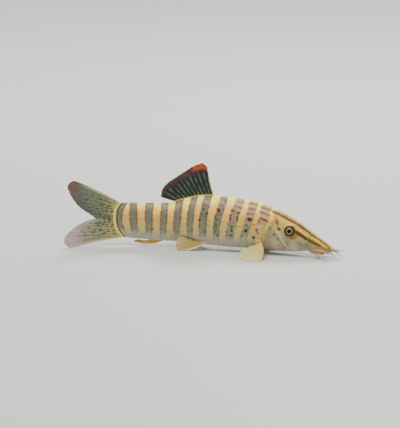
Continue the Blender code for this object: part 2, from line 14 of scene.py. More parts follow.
import bmesh
import bpy
import numpy as np
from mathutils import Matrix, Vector


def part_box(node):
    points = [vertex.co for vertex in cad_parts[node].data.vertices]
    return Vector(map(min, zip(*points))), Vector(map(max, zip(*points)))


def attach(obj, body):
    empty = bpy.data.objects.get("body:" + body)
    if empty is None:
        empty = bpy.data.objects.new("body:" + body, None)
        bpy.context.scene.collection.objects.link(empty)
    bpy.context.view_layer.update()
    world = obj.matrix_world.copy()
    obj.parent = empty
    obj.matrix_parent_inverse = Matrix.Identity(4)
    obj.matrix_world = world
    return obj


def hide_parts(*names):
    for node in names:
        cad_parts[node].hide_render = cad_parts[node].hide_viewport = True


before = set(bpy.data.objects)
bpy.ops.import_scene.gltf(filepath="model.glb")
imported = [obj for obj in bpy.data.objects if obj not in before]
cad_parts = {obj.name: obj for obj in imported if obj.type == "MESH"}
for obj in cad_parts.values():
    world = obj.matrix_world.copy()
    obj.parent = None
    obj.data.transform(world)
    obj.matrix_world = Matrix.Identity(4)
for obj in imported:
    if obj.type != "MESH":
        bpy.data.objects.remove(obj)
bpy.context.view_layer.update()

LOG = logging.getLogger("tiger_loach")
MM = 0.001
GAP = 0.3
MERGE = 0.0004
OUTSIDE = -9.0
FAR = 99.0

Array = np.ndarray
Socket = bpy.types.NodeSocket
Row = tuple[float, ...]
Rows = tuple[Row, ...]
Pair = tuple[float, float]
Triple = tuple[float, float, float]
Strokes = tuple[tuple, ...]
Tone = tuple[float, float, float, float]
Stops = tuple[tuple[float, Tone], ...]
Across = Callable[[Array], Array]
Spread = Callable[[Array, Array], Array]


class Side(Enum):
    """Side of the fish, as the sign of y there."""

    LEFT = 1
    RIGHT = -1

    @property
    def tag(self) -> str:
        """Name of the side as the nodes have it."""
        return self.name.lower()


def ramp(value: Array, low: float, high: float) -> Array:
    """Rise smoothly from 0 at low to 1 at high.

    Args:
        value: Numbers to read.
        low: Where the rise starts.
        high: Where it ends.

    Returns:
        The share of the rise at each number.
    """
    share = np.clip((value - low) / (high - low), 0.0, 1.0)
    return share * share * (3.0 - 2.0 * share)


def hump(distance: Array, reach: float) -> Array:
    """Round hump, 1 at no distance and 0 from reach on.

    Args:
        distance: How far each point is from the middle of the hump.
        reach: Where the hump ends.

    Returns:
        The height of the hump at each point.
    """
    share = np.clip(1.0 - (distance / reach) ** 2, 0.0, 1.0)
    return share * share


def span(value: Array, start: float, full: float, fall: float, end: float) -> Array:
    """Rise smoothly from 0 at start to 1 at full, and sink again from fall to end.

    Args:
        value: Numbers to read.
        start: Where the rise starts.
        full: Where it ends.
        fall: Where the sinking starts.
        end: Where it ends.

    Returns:
        The share at each number.
    """
    return ramp(value, start, full) * (1.0 - ramp(value, fall, end))


def crests(distance: Array, *rows: Row) -> Array:
    """Round crests and hollows around a place.

    Args:
        distance: How far each point is from the place.
        rows: How far out each crest lies, its reach and its height, which is below 0 in a hollow.

    Returns:
        The height at each point.
    """
    return sum(height * hump(distance - middle, reach) for middle, reach, height in rows)


def distance_to(points: Array, start: Array, end: Array) -> Array:
    """Distance of each point from the straight piece between two others.

    Args:
        points: The points.
        start: One end of the piece.
        end: Its other end.

    Returns:
        The distance of each point.
    """
    run = end - start
    share = np.clip((points - start) @ run / (run @ run), 0.0, 1.0)
    return np.linalg.norm(points - start - share[..., None] * run, axis=-1)


class Line:
    """Smooth line through rows of (place, value), which reads whole arrays."""

    def __init__(self, rows: Rows) -> None:
        """Settle the slope at each row.

        Args:
            rows: Places with the value there, in any order.
        """
        table = np.array(sorted(rows), dtype=float)
        self.place, self.value = table[:, 0], table[:, 1]
        step = np.diff(self.place)
        chord = np.diff(self.value) / step
        before, after = chord[:-1], chord[1:]
        inner = (before * step[1:] + after * step[:-1]) / (step[1:] + step[:-1])
        inner[before * after <= 0] = 0.0
        self.slope = np.concatenate([chord[:1], inner, chord[-1:]])

    def __call__(self, at: Array) -> Array:
        """Read the line.

        Args:
            at: Places, which are held between the first and the last row.

        Returns:
            The value at each place.
        """
        at = np.clip(at, self.place[0], self.place[-1])
        row = np.clip(np.searchsorted(self.place, at, side="right") - 1, 0, len(self.place) - 2)
        step = self.place[row + 1] - self.place[row]
        t = (at - self.place[row]) / step
        start = self.value[row] * (1 + 2 * t) + self.slope[row] * step * t
        end = self.value[row + 1] * (3 - 2 * t) - self.slope[row + 1] * step * (1 - t)
        return start * (1 - t) ** 2 + end * t ** 2


class Path:
    """Smooth way through rows of (place, x, y, z)."""

    def __init__(self, rows: Rows) -> None:
        """Make one line for each axis.

        Args:
            rows: Places with the point there.
        """
        self.axes = [Line([(row[0], row[axis]) for row in rows]) for axis in (1, 2, 3)]

    def __call__(self, at: Array) -> Array:
        """Read the points at some places, one row of x, y and z for each."""
        return np.stack([axis(at) for axis in self.axes], axis=-1)


def path_by_length(points: Sequence[Sequence[float]]) -> Path:
    """Way through some points, read by the share of its length.

    Args:
        points: The points, in order.

    Returns:
        The way, from 0 at the first point to 1 at the last.
    """
    points = np.array(points, dtype=float)
    run = np.concatenate([[0.0], np.cumsum(np.linalg.norm(np.diff(points, axis=0), axis=1))])
    return Path([(share, *point) for share, point in zip(run / run[-1], points)])


@dataclass
class Body:
    """Outline and sections of the straight fish, in millimetres.

    widest_rows gives the share of the height at which a section is widest. A fullness is 1
    for an ellipse and more for a sharper ridge. The gill cover rises from the cheek's line to
    the gill opening, between the heights in cover_levels.
    """

    snout: float = 93.0
    back_rows: Rows = (
        (-66.0, 27.5), (-63.0, 29.6), (-58.0, 31.1), (-50.0, 31.0), (-36.0, 31.5),
        (-24.0, 32.2), (-14.0, 35.2), (-5.0, 37.5), (5.0, 38.3), (18.0, 38.0), (32.0, 36.6),
        (44.0, 34.0), (54.0, 30.6), (64.0, 25.8), (72.0, 21.2), (79.0, 16.3), (85.0, 12.6),
        (89.5, 9.8), (91.8, 8.1), (92.8, 6.9), (93.0, 6.3),
    )
    belly_rows: Rows = (
        (-66.0, 9.5), (-62.0, 7.2), (-58.0, 6.3), (-46.0, 5.2), (-30.0, 4.7), (-14.0, 4.3),
        (2.0, 3.6), (18.0, 2.9), (36.0, 2.9), (52.0, 2.5), (66.0, 3.2), (76.0, 4.4),
        (84.0, 5.3), (90.0, 5.4), (92.2, 5.6), (92.8, 5.9), (93.0, 6.3),
    )
    half_width_rows: Rows = (
        (-66.0, 1.0), (-62.0, 1.8), (-58.0, 2.7), (-50.0, 4.0), (-40.0, 5.1), (-30.0, 6.0),
        (-16.0, 7.3), (0.0, 8.7), (16.0, 9.6), (32.0, 9.9), (44.0, 9.6), (54.0, 8.9),
        (64.0, 7.7), (72.0, 6.5), (80.0, 5.0), (86.0, 3.8), (90.0, 2.8), (92.0, 1.8),
        (92.8, 0.9), (93.0, 0.0),
    )
    widest_rows: Rows = ((-66.0, 0.5), (-30.0, 0.48), (20.0, 0.44), (60.0, 0.42), (93.0, 0.40))
    back_fullness_rows: Rows = (
        (-66.0, 1.0), (-20.0, 1.1), (20.0, 1.2), (60.0, 1.12), (93.0, 1.0),
    )
    belly_fullness_rows: Rows = (
        (-66.0, 1.0), (-20.0, 0.9), (20.0, 0.8), (60.0, 0.85), (93.0, 1.0),
    )
    gill_rows: Rows = (
        (-2.0, 48.5), (3.0, 46.0), (6.5, 44.4), (11.0, 43.7), (17.0, 44.2), (20.8, 45.5),
        (25.5, 48.2), (31.0, 49.8), (40.0, 50.5),
    )
    flesh_end_rows: Rows = (
        (2.0, -56.5), (6.4, -58.5), (10.0, -61.6), (15.6, -63.9), (19.2, -64.4), (22.5, -64.3),
        (27.5, -62.9), (31.0, -60.2), (35.0, -57.8),
    )
    cheek_rows: Rows = ((2.0, 62.0), (6.1, 60.0), (13.3, 57.0), (19.5, 53.0), (24.0, 51.0))
    cover_rise: float = 1.0
    cover_levels: Row = (2.8, 6.0, 19.0, 22.5)

    def __post_init__(self) -> None:
        """Make the lines of the tables."""
        self.back, self.belly = Line(self.back_rows), Line(self.belly_rows)
        self.half_width, self.widest = Line(self.half_width_rows), Line(self.widest_rows)
        self.back_fullness = Line(self.back_fullness_rows)
        self.belly_fullness = Line(self.belly_fullness_rows)
        self.gill, self.flesh_end = Line(self.gill_rows), Line(self.flesh_end_rows)
        self.cheek = Line(self.cheek_rows)

    def widest_level(self, x: Array) -> Array:
        """Height at which the section at x is widest."""
        return self.belly(x) + self.widest(x) * (self.back(x) - self.belly(x))

    def half_section(self, x: Array, upper: Array) -> tuple[Array, Array]:
        """Reach of the section from its widest level up or down, and how full it is there."""
        reach = np.where(upper, 1.0 - self.widest(x), self.widest(x)) * (self.back(x) - self.belly(x))
        return reach, np.where(upper, self.back_fullness(x), self.belly_fullness(x))

    def section(self, x: Array, angle: Array) -> tuple[Array, Array]:
        """Section of the body, seen from the front.

        Args:
            x: Stations.
            angle: Turn from the left flank upward at each station.

        Returns:
            The y and z of each point.
        """
        middle = self.widest_level(x)
        reach, fullness = self.half_section(x, np.sin(angle) >= 0)
        breadth = self.half_width(x) * np.abs(np.cos(angle)) ** fullness
        return np.copysign(breadth, np.cos(angle)), middle + reach * np.sin(angle)

    def flank(self, x: Array, z: Array) -> Array:
        """Half the breadth of the body at station x and height z.

        Args:
            x: Stations.
            z: Heights there.

        Returns:
            The half breadth at each.
        """
        x, z = np.asarray(x, dtype=float), np.asarray(z, dtype=float)
        middle = self.widest_level(x)
        reach, fullness = self.half_section(x, z >= middle)
        share = np.clip(np.abs(z - middle) / np.maximum(reach, 1e-6), 0.0, 1.0)
        return self.half_width(x) * (1.0 - share * share) ** (0.5 * fullness)

    def rise(self, x: Array, z: Array) -> Array:
        """How far the gill cover stands proud, most at its free rear edge."""
        share = (self.cheek(z) - x) / (self.cheek(z) - self.gill(z))
        return self.cover_rise * ramp(share, 0.0, 0.9) * span(z, *self.cover_levels)

    def facing(self, x: float, z: float, side: Side) -> Array:
        """Direction that the flank faces at station x and height z.

        Args:
            x: The station.
            z: The height.
            side: Side of the fish.

        Returns:
            The direction, of length 1.
        """
        along = self.flank(x + 0.5, z) - self.flank(x - 0.5, z)
        upward = self.flank(x, z + 0.5) - self.flank(x, z - 0.5)
        normal = np.array([-float(along), side.value, -float(upward)])
        return normal / np.linalg.norm(normal)

    def on_flank(self, rows: Sequence[Sequence[float]]) -> Array:
        """Points on the left flank.

        Args:
            rows: Rows that start with a station and a height.

        Returns:
            One row of x, y and z for each.
        """
        table = np.array([row[:2] for row in rows], dtype=float)
        x, z = table[:, 0], table[:, 1]
        ahead = x > self.gill(z)
        return np.stack([x, self.flank(x, z) + np.where(ahead, self.rise(x, z), 0.0), z], axis=-1)


@dataclass
class EyeSeat:
    """Place of the eyes in the straight fish."""

    x: float = 62.7
    z: float = 18.4
    radius: float = 3.6
    half_depth: float = 2.1
    sink: float = 0.75

    def centre(self, body: Body, side: Side) -> Array:
        """Middle of the eyeball, a little inside the skin."""
        spot = np.array([self.x, side.value * float(body.flank(self.x, self.z)), self.z])
        return spot - self.sink * body.facing(self.x, self.z, side)

    def axes(self, body: Body, side: Side) -> tuple[Array, Array, Array]:
        """Forward, outward and upward axes of the eyeball.

        Args:
            body: The body.
            side: Side of the fish.

        Returns:
            The three axes, of length 1.
        """
        outward = body.facing(self.x, self.z, side)
        forward = np.array([1.0, 0.0, 0.0]) - outward * outward[0]
        forward /= np.linalg.norm(forward)
        return forward, outward, np.cross(forward, outward)


@dataclass
class Backbone:
    """Plan curve that the straight fish is bent along.

    The head turns up to head_turn at the snout, and the tail up to tail_turn at tail_tip.
    """

    body: Body
    eyes: EyeSeat
    tail_tip: float = -101.0
    head_start: float = 18.0
    head_turn: float = math.radians(12.0)
    tail_start: float = -8.0
    tail_turn: float = math.radians(34.0)
    samples: int = 4000

    def __post_init__(self) -> None:
        """Run along the curve once, and find where the solids put its origin."""
        self.station = np.linspace(self.tail_tip - 12.0, self.body.snout + 15.0, self.samples)
        head = np.clip((self.station - self.head_start) / (self.body.snout - self.head_start), 0, None)
        tail = np.clip((self.tail_start - self.station) / (self.tail_start - self.tail_tip), 0, None)
        self.heading = self.tail_turn * tail ** 1.5 - self.head_turn * head
        middle = 0.5 * (self.heading[1:] + self.heading[:-1])
        step = np.diff(self.station)
        self.along = np.concatenate([[0.0], np.cumsum(np.cos(middle) * step)])
        self.across = np.concatenate([[0.0], np.cumsum(np.sin(middle) * step)])
        self.along -= np.interp(0.0, self.station, self.along)
        self.across -= np.interp(0.0, self.station, self.across)
        self.shift = np.zeros(3)
        off = []
        for side in Side:
            low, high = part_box(f"eye_{side.tag}")
            bent = self.bend(self.eyes.centre(self.body, side))
            off.append(bent - np.array((low + high) / 2))
        self.shift = np.mean(off, axis=0) * (1, 1, 0)

    def bend(self, points: Array) -> Array:
        """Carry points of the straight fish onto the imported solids.

        Args:
            points: Points in millimetres, with x, y and z last.

        Returns:
            The points in metres.
        """
        station = points[..., 0]
        turn = np.interp(station, self.station, self.heading)
        x = np.interp(station, self.station, self.along) - points[..., 1] * np.sin(turn)
        y = np.interp(station, self.station, self.across) + points[..., 1] * np.cos(turn)
        return np.stack([x, y, points[..., 2]], axis=-1) * MM - self.shift


def link_new(name: str, data: bpy.types.ID) -> bpy.types.Object:
    """Make an object and link it to the scene.

    Args:
        name: Its name.
        data: Its mesh, lamp or camera.

    Returns:
        The object.
    """
    made = bpy.data.objects.new(name, data)
    bpy.context.scene.collection.objects.link(made)
    return made


class Sheet:
    """Grid of quads, made flat by an operator and then laid into shape."""

    def __init__(self, name: str, across: int, along: int) -> None:
        """Make the flat grid.

        Args:
            name: Name of the piece.
            across: Count of faces in the first direction.
            along: Count of faces in the second.
        """
        bm = bmesh.new()
        bmesh.ops.create_grid(bm, x_segments=across, y_segments=along, size=0.5)
        self.mesh = bpy.data.meshes.new(name)
        bm.to_mesh(self.mesh)
        bm.free()
        flat = np.empty(len(self.mesh.vertices) * 3)
        self.mesh.vertices.foreach_get("co", flat)
        flat = flat.reshape(-1, 3) + 0.5
        self.place = (np.rint(flat[:, 0] * across).astype(int), np.rint(flat[:, 1] * along).astype(int))

    def lay(self, points: Array) -> None:
        """Put every point of the grid in its place, in metres."""
        self.mesh.vertices.foreach_set("co", points[self.place].ravel())

    def paint(self, label: str, values: Array) -> None:
        """Store a number, or a row of three, on every point of the grid.

        Args:
            label: Name to store them under.
            values: The numbers, laid out as the grid is.
        """
        vector = values.ndim == 3
        layer = self.mesh.attributes.new(label, "FLOAT_VECTOR" if vector else "FLOAT", "POINT")
        layer.data.foreach_set("vector" if vector else "value", values[self.place].ravel())

    def finish(self, closed: bool) -> bpy.types.Object:
        """Make the object.

        Args:
            closed: Whether the edges of the grid meet, and the faces are to be turned outward.

        Returns:
            The object, linked to the scene.
        """
        if closed:
            bm = bmesh.new()
            bm.from_mesh(self.mesh)
            bmesh.ops.remove_doubles(bm, verts=bm.verts, dist=MERGE * MM)
            bmesh.ops.recalc_face_normals(bm, faces=bm.faces)
            bm.to_mesh(self.mesh)
            bm.free()
        self.mesh.shade_smooth()
        return link_new(self.mesh.name, self.mesh)


def settle(piece: bpy.types.Object, material: bpy.types.Material, slot: str, *nodes: str) -> None:
    """Dress a piece and let it stand for its solids.

    Args:
        piece: The piece.
        material: Its finish.
        slot: Name of its material slot, which is not used.
        nodes: The solids that it replaces.
    """
    piece.data.materials.clear()
    piece.data.materials.append(material)
    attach(piece, "root")
    if nodes:
        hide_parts(*nodes)
    LOG.info("%s: %d faces", piece.name, len(piece.data.polygons))


def tone(red: int, green: int, blue: int) -> Tone:
    """Colour of the shader from its red, green and blue as they are seen, 0 to 255.

    Args:
        red: Its red.
        green: Its green.
        blue: Its blue.

    Returns:
        The colour as the shader takes it.
    """
    seen = [channel / 255 for channel in (red, green, blue)]
    linear = [c / 12.92 if c <= 0.04045 else ((c + 0.055) / 1.055) ** 2.4 for c in seen]
    return (*linear, 1.0)


class Shades:
    """Node graph of one finish."""

    def __init__(self, name: str, roughness: float) -> None:
        """Start a material with its main shader.

        Args:
            name: Name of the finish.
            roughness: Roughness of its gloss.
        """
        self.material = bpy.data.materials.new(name)
        self.material.use_nodes = True
        self.tree = self.material.node_tree
        self.shader = self.tree.nodes["Principled BSDF"]
        self.set("Roughness", roughness)

    def set(self, label: str, value: object) -> None:
        """Give one input of the main shader a value, or the socket that feeds it."""
        self.feed(self.shader.inputs[label], value)

    def feed(self, socket: Socket, value: object) -> None:
        """Link a socket to another, or set its value.

        Args:
            socket: The socket.
            value: The other one, or the value.
        """
        if isinstance(value, Socket):
            self.tree.links.new(value, socket)
        else:
            socket.default_value = value

    def add(self, kind: str, inputs: dict, output: int | str = 0, **settings: object) -> Socket:
        """Add a node to the graph.

        Args:
            kind: Kind of node.
            inputs: Values of its inputs, or the sockets that feed them.
            output: The output that is asked for.
            settings: Its other settings.

        Returns:
            The socket of the output.
        """
        made = self.tree.nodes.new("ShaderNode" + kind)
        for label, value in settings.items():
            setattr(made, label, value)
        for label, value in inputs.items():
            self.feed(made.inputs[label], value)
        return made.outputs[output]

    def read(self, label: str) -> Socket:
        """Number that is stored on the piece's points."""
        return self.add("Attribute", {}, "Fac", attribute_name=label)

    def read_point(self, label: str) -> Socket:
        """Row of three that is stored on the piece's points."""
        return self.add("Attribute", {}, "Vector", attribute_name=label)

    def sum(self, operation: str, first: object, second: object) -> Socket:
        """Work out one number from two."""
        return self.add("Math", {0: first, 1: second}, operation=operation)

    def rise(self, value: object, low: float, high: float, start: float = 0.0, end: float = 1.0) -> Socket:
        """Go smoothly from start to end as a number goes from low to high."""
        inputs = {"Value": value, "From Min": low, "From Max": high, "To Min": start, "To Max": end}
        return self.add("MapRange", inputs, "Result", interpolation_type="SMOOTHSTEP")

    def blend(self, share: object, first: object, second: object, way: str = "MIX") -> Socket:
        """Mix two colours."""
        return self.add("MixRGB", {0: share, 1: first, 2: second}, blend_type=way)

    def scale(self, value: object, stops: Stops) -> Socket:
        """Read a colour from a row of (place, colour).

        Args:
            value: Place in the row, from 0 to 1.
            stops: The row.

        Returns:
            The socket of the colour.
        """
        made = self.tree.nodes.new("ShaderNodeValToRGB")
        elements = made.color_ramp.elements
        elements[0].position, elements[0].color = stops[0]
        elements[1].position, elements[1].color = stops[-1]
        for place, color in stops[1:-1]:
            elements.new(place).color = color
        self.feed(made.inputs["Fac"], value)
        return made.outputs["Color"]

    def grain(self, place: object, size: float, detail: float = 2.0) -> Socket:
        """Cloudy noise whose patches are about size across, from 0 to 1."""
        return self.add("TexNoise", {"Vector": place, "Scale": 1.0 / size, "Detail": detail}, "Fac")

    def cells(self, place: object, size: float, jitter: float = 1.0) -> Socket:
        """Distance from the middles of cells about size across, in a lattice at no jitter."""
        inputs = {"Vector": place, "Scale": 1.0 / size, "Randomness": jitter}
        return self.add("TexVoronoi", inputs, "Distance")

    def turned(self, place: object, degrees: float) -> Socket:
        """The same place turned about its third axis."""
        turn = (0.0, 0.0, math.radians(degrees))
        return self.add("Mapping", {"Vector": place, "Rotation": turn}, "Vector")

    def stretched(self, place: object, factors: Triple) -> Socket:
        """The same place with its three numbers scaled."""
        return self.add("Mapping", {"Vector": place, "Scale": factors}, "Vector")

    def relief(self, height: object, depth: float, below: Socket | None = None) -> Socket:
        """Fine relief in the light.

        Args:
            height: The height, from 0 to 1.
            depth: What 1 is, in millimetres.
            below: The relief that this one lies on.

        Returns:
            The socket for the shader's normal.
        """
        inputs = {"Distance": depth * MM, "Height": height}
        if below is not None:
            inputs["Normal"] = below
        return self.add("Bump", inputs, "Normal")


@dataclass(frozen=True)
class Ground:
    """What every layer of the skin's finish reads.

    wobble is a fine and drift a broad unevenness, both about 0. height is the way up the flank.
    """

    shades: Shades
    place: Socket
    wobble: Socket
    drift: Socket
    height: Socket


@dataclass(frozen=True)
class SkinFinish:
    """Moist skin: dark bars on yellow and peach, brown lines on the head, a pale belly.

    light, dark, front_dark and head give their colours from the belly at 0 to the back at 1.
    """

    light: Stops = (
        (0.0, tone(173, 167, 148)), (0.12, tone(169, 163, 139)), (0.28, tone(192, 169, 106)),
        (0.5, tone(196, 165, 80)), (0.68, tone(215, 173, 82)), (0.8, tone(252, 202, 90)),
        (0.9, tone(255, 226, 88)), (1.0, tone(255, 230, 90)),
    )
    dark: Stops = (
        (0.0, tone(167, 163, 146)), (0.14, tone(148, 144, 127)), (0.3, tone(120, 118, 95)),
        (0.55, tone(103, 106, 86)), (0.75, tone(110, 103, 82)), (0.9, tone(131, 118, 93)),
        (1.0, tone(106, 93, 53)),
    )
    front_dark: Stops = (
        (0.0, tone(169, 163, 146)), (0.18, tone(148, 146, 131)), (0.36, tone(116, 122, 101)),
        (0.56, tone(114, 114, 93)), (0.72, tone(150, 118, 101)), (0.88, tone(163, 124, 99)),
        (1.0, tone(131, 106, 59)),
    )
    head: Stops = (
        (0.0, tone(180, 160, 142)), (0.14, tone(171, 148, 125)), (0.28, tone(135, 131, 103)),
        (0.46, tone(141, 133, 87)), (0.62, tone(177, 148, 80)), (0.84, tone(203, 160, 66)),
        (1.0, tone(192, 156, 76)),
    )
    bar_edge: Tone = tone(49, 38, 11)
    spot: Tone = tone(25, 23, 11)
    streak: Tone = tone(76, 50, 2)
    rust: Tone = tone(144, 78, 21)
    dash: Tone = tone(80, 51, 38)
    stripe: Tone = tone(48, 30, 4)
    glow: Tone = tone(236, 142, 74)
    # Pale lines, and painted highlights above the eye and at the foot of the pectoral fins.
    pale: Tone = tone(232, 215, 167)
    sheen: Tone = tone(212, 208, 160)
    band: Tone = tone(215, 169, 53)
    snout: Tone = tone(188, 132, 68)
    socket: Tone = tone(74, 61, 25)
    # Painted shade in the creases, the nostril pits, the gill openings and the slot of the mouth.
    crease: Tone = tone(49, 34, 19)
    mottle: Tone = tone(80, 80, 46)
    pepper: Tone = tone(51, 44, 23)
    edge_strength: float = 0.65
    uneven: tuple[str, ...] = ("spot", "rust", "band")

    def make(self) -> bpy.types.Material:
        """Build the material from what is stored on the skin.

        Returns:
            The material.
        """
        s = Shades("moist_barred_skin", 0.42)
        place = s.read_point("straight")
        wobble = s.sum("SUBTRACT", s.grain(place, 2.2, 3.0), 0.5)
        drift = s.sum("SUBTRACT", s.grain(place, 6.0, 2.0), 0.5)
        height = s.sum("ADD", s.read("height"), s.sum("MULTIPLY", wobble, 0.12))
        ground = Ground(s, place, wobble, drift, height)
        color = self.with_head(ground, self.barred(ground))
        color = self.with_marks(ground, color)
        s.set("Base Color", self.clouded(ground, color))
        self.add_relief(ground)
        s.set("Roughness", s.rise(s.grain(place, 1.4, 3.0), 0.3, 0.7, 0.36, 0.5))
        s.set("Specular IOR Level", 0.35)
        s.set("Coat Weight", 0.1)
        s.set("Coat Roughness", 0.18)
        return s.material

    def barred(self, ground: Ground) -> Socket:
        """Dark bars with broken darker edges, on light ones that glow peach at mid height.

        Args:
            ground: What every layer reads.

        Returns:
            The colour.
        """
        s, place, height = ground.shades, ground.place, ground.height
        bar = s.sum("ADD", s.read("bar"), s.sum("MULTIPLY", ground.wobble, 1.6))
        light, dark = s.scale(height, self.light), s.scale(height, self.dark)
        dark = s.blend(s.read("front"), dark, s.scale(height, self.front_dark))
        beside = s.sum("MULTIPLY", s.rise(bar, -2.6, 0.1, 0.5, 1.0), s.rise(bar, 0.7, -0.3))
        glow = s.sum("MULTIPLY", beside, s.rise(ground.drift, -0.12, 0.12))
        glow = s.sum("MULTIPLY", glow, s.rise(height, 0.42, 0.66))
        glow = s.sum("MULTIPLY", glow, s.rise(height, 0.92, 0.76, 0.0, 0.7))
        light = s.blend(glow, light, self.glow)
        strength = s.sum("MULTIPLY", s.rise(height, 0.06, 0.3), s.read("bar_strength"))
        inside = s.sum("MULTIPLY", s.rise(bar, -0.5, 0.6), strength)
        color = s.blend(inside, light, dark)
        edge = s.sum("MULTIPLY", s.rise(bar, -0.5, 0.3), s.rise(bar, 1.5, 0.4))
        broken = s.rise(s.grain(s.stretched(place, (0.6, 1.0, 0.8)), 1.5, 1.0), 0.38, 0.6)
        edge = s.sum("MULTIPLY", edge, s.sum("MULTIPLY", broken, strength))
        color = s.blend(s.sum("MULTIPLY", edge, self.edge_strength), color, self.bar_edge)
        dots = s.sum("MULTIPLY", s.rise(s.cells(place, 1.0), 0.3, 0.1), inside)
        dots = s.sum("MULTIPLY", dots, s.rise(s.read("front"), 0.0, 0.6, 0.4, 0.7))
        return s.blend(dots, color, self.spot)

    def with_head(self, ground: Ground, color: Socket) -> Socket:
        """The mottled colour of the head, and the pale shine on the cheek.

        Args:
            ground: What every layer reads.
            color: The colour below.

        Returns:
            The colour with the head on it.
        """
        s, height = ground.shades, ground.height
        head = s.scale(height, self.head)
        mottle = s.rise(s.grain(ground.place, 2.6, 3.0), 0.42, 0.7, 0.0, 0.5)
        mottle = s.sum("MULTIPLY", mottle, s.rise(height, 0.8, 0.5, 0.3, 1.0))
        head = s.blend(mottle, head, self.mottle)
        color = s.blend(s.read("head"), color, head)
        shine = s.sum("MULTIPLY", s.read("sheen"), s.rise(ground.drift, -0.2, 0.1, 0.5, 1.0))
        return s.blend(shine, color, self.sheen)

    def with_marks(self, ground: Ground, color: Socket) -> Socket:
        """Lines and spots with ragged edges, each with its most strength and its raggedness.

        Args:
            ground: What every layer reads.
            color: The colour below.

        Returns:
            The colour with the marks on it.
        """
        s = ground.shades
        painted = (
            ("band", self.band, 0.9, 1.0), ("socket", self.socket, 0.85, 1.0),
            ("rust", self.rust, 0.8, 1.0), ("dash", self.dash, 0.8, 1.0),
            ("streak", self.streak, 0.92, 1.0), ("stripe", self.stripe, 0.8, 1.0),
            # pale also paints highlights above the eye and at the foot of the pectoral fins.
            ("pale", self.pale, 0.62, 0.8), ("spot", self.spot, 0.95, 0.5),
        )
        fine = s.sum("SUBTRACT", s.grain(ground.place, 0.8, 3.0), 0.5)
        broad = s.sum("MULTIPLY", ground.drift, 1.2)
        ragged = s.sum("ADD", s.sum("MULTIPLY", ground.wobble, 1.6), broad)
        ragged = s.sum("ADD", ragged, s.sum("MULTIPLY", fine, 1.5))
        for label, tint, most, raggedness in painted:
            rough = s.sum("MULTIPLY", ragged, raggedness)
            share = s.rise(s.sum("ADD", s.read(label), rough), -0.6, 0.5, 0.0, most)
            if label in self.uneven:
                share = s.sum("MULTIPLY", share, s.read(label + "_strength"))
            color = s.blend(share, color, tint)
        color = s.blend(s.read("snout"), color, self.snout)
        # Painted shade in the creases, pits, gill openings and the mouth's slot.
        return s.blend(s.read("crease"), color, self.crease)

    def clouded(self, ground: Ground, color: Socket) -> Socket:
        """Fine dark pepper, and clouds of two sizes over everything.

        Args:
            ground: What every layer reads.
            color: The colour below.

        Returns:
            The colour of the whole skin.
        """
        s, place = ground.shades, ground.place
        pepper = s.rise(s.cells(place, 0.6), 0.3, 0.12, 0.0, 0.3)
        pepper = s.sum("MULTIPLY", pepper, s.rise(ground.height, 0.1, 0.5))
        color = s.blend(pepper, color, self.pepper)
        for size, least, most in ((2.4, 0.86, 1.12), (0.5, 0.88, 1.1)):
            cloud = s.rise(s.grain(place, size, 4.0), 0.3, 0.72, least, most)
            color = s.blend(1.0, color, cloud, "MULTIPLY")
        return color

    def add_relief(self, ground: Ground) -> None:
        """Minute scales behind the head, a fine grain all over and folds on the lips.

        Args:
            ground: What every layer reads.
        """
        s, place = ground.shades, ground.place
        lattice = s.turned(s.read_point("scales"), 45.0)
        scaly = s.cells(lattice, 0.55, jitter=0.25)
        scaly = s.sum("MULTIPLY", s.rise(scaly, 0.62, 0.1), s.rise(s.read("head"), 0.8, 0.0))
        normal = s.relief(scaly, 0.03)
        normal = s.relief(s.grain(place, 0.35, 3.0), 0.03, normal)
        folds = s.sum("MULTIPLY", s.grain(s.stretched(place, (1.6, 1.0, 0.5)), 0.9), s.read("snout"))
        s.set("Normal", s.relief(folds, 0.3, normal))


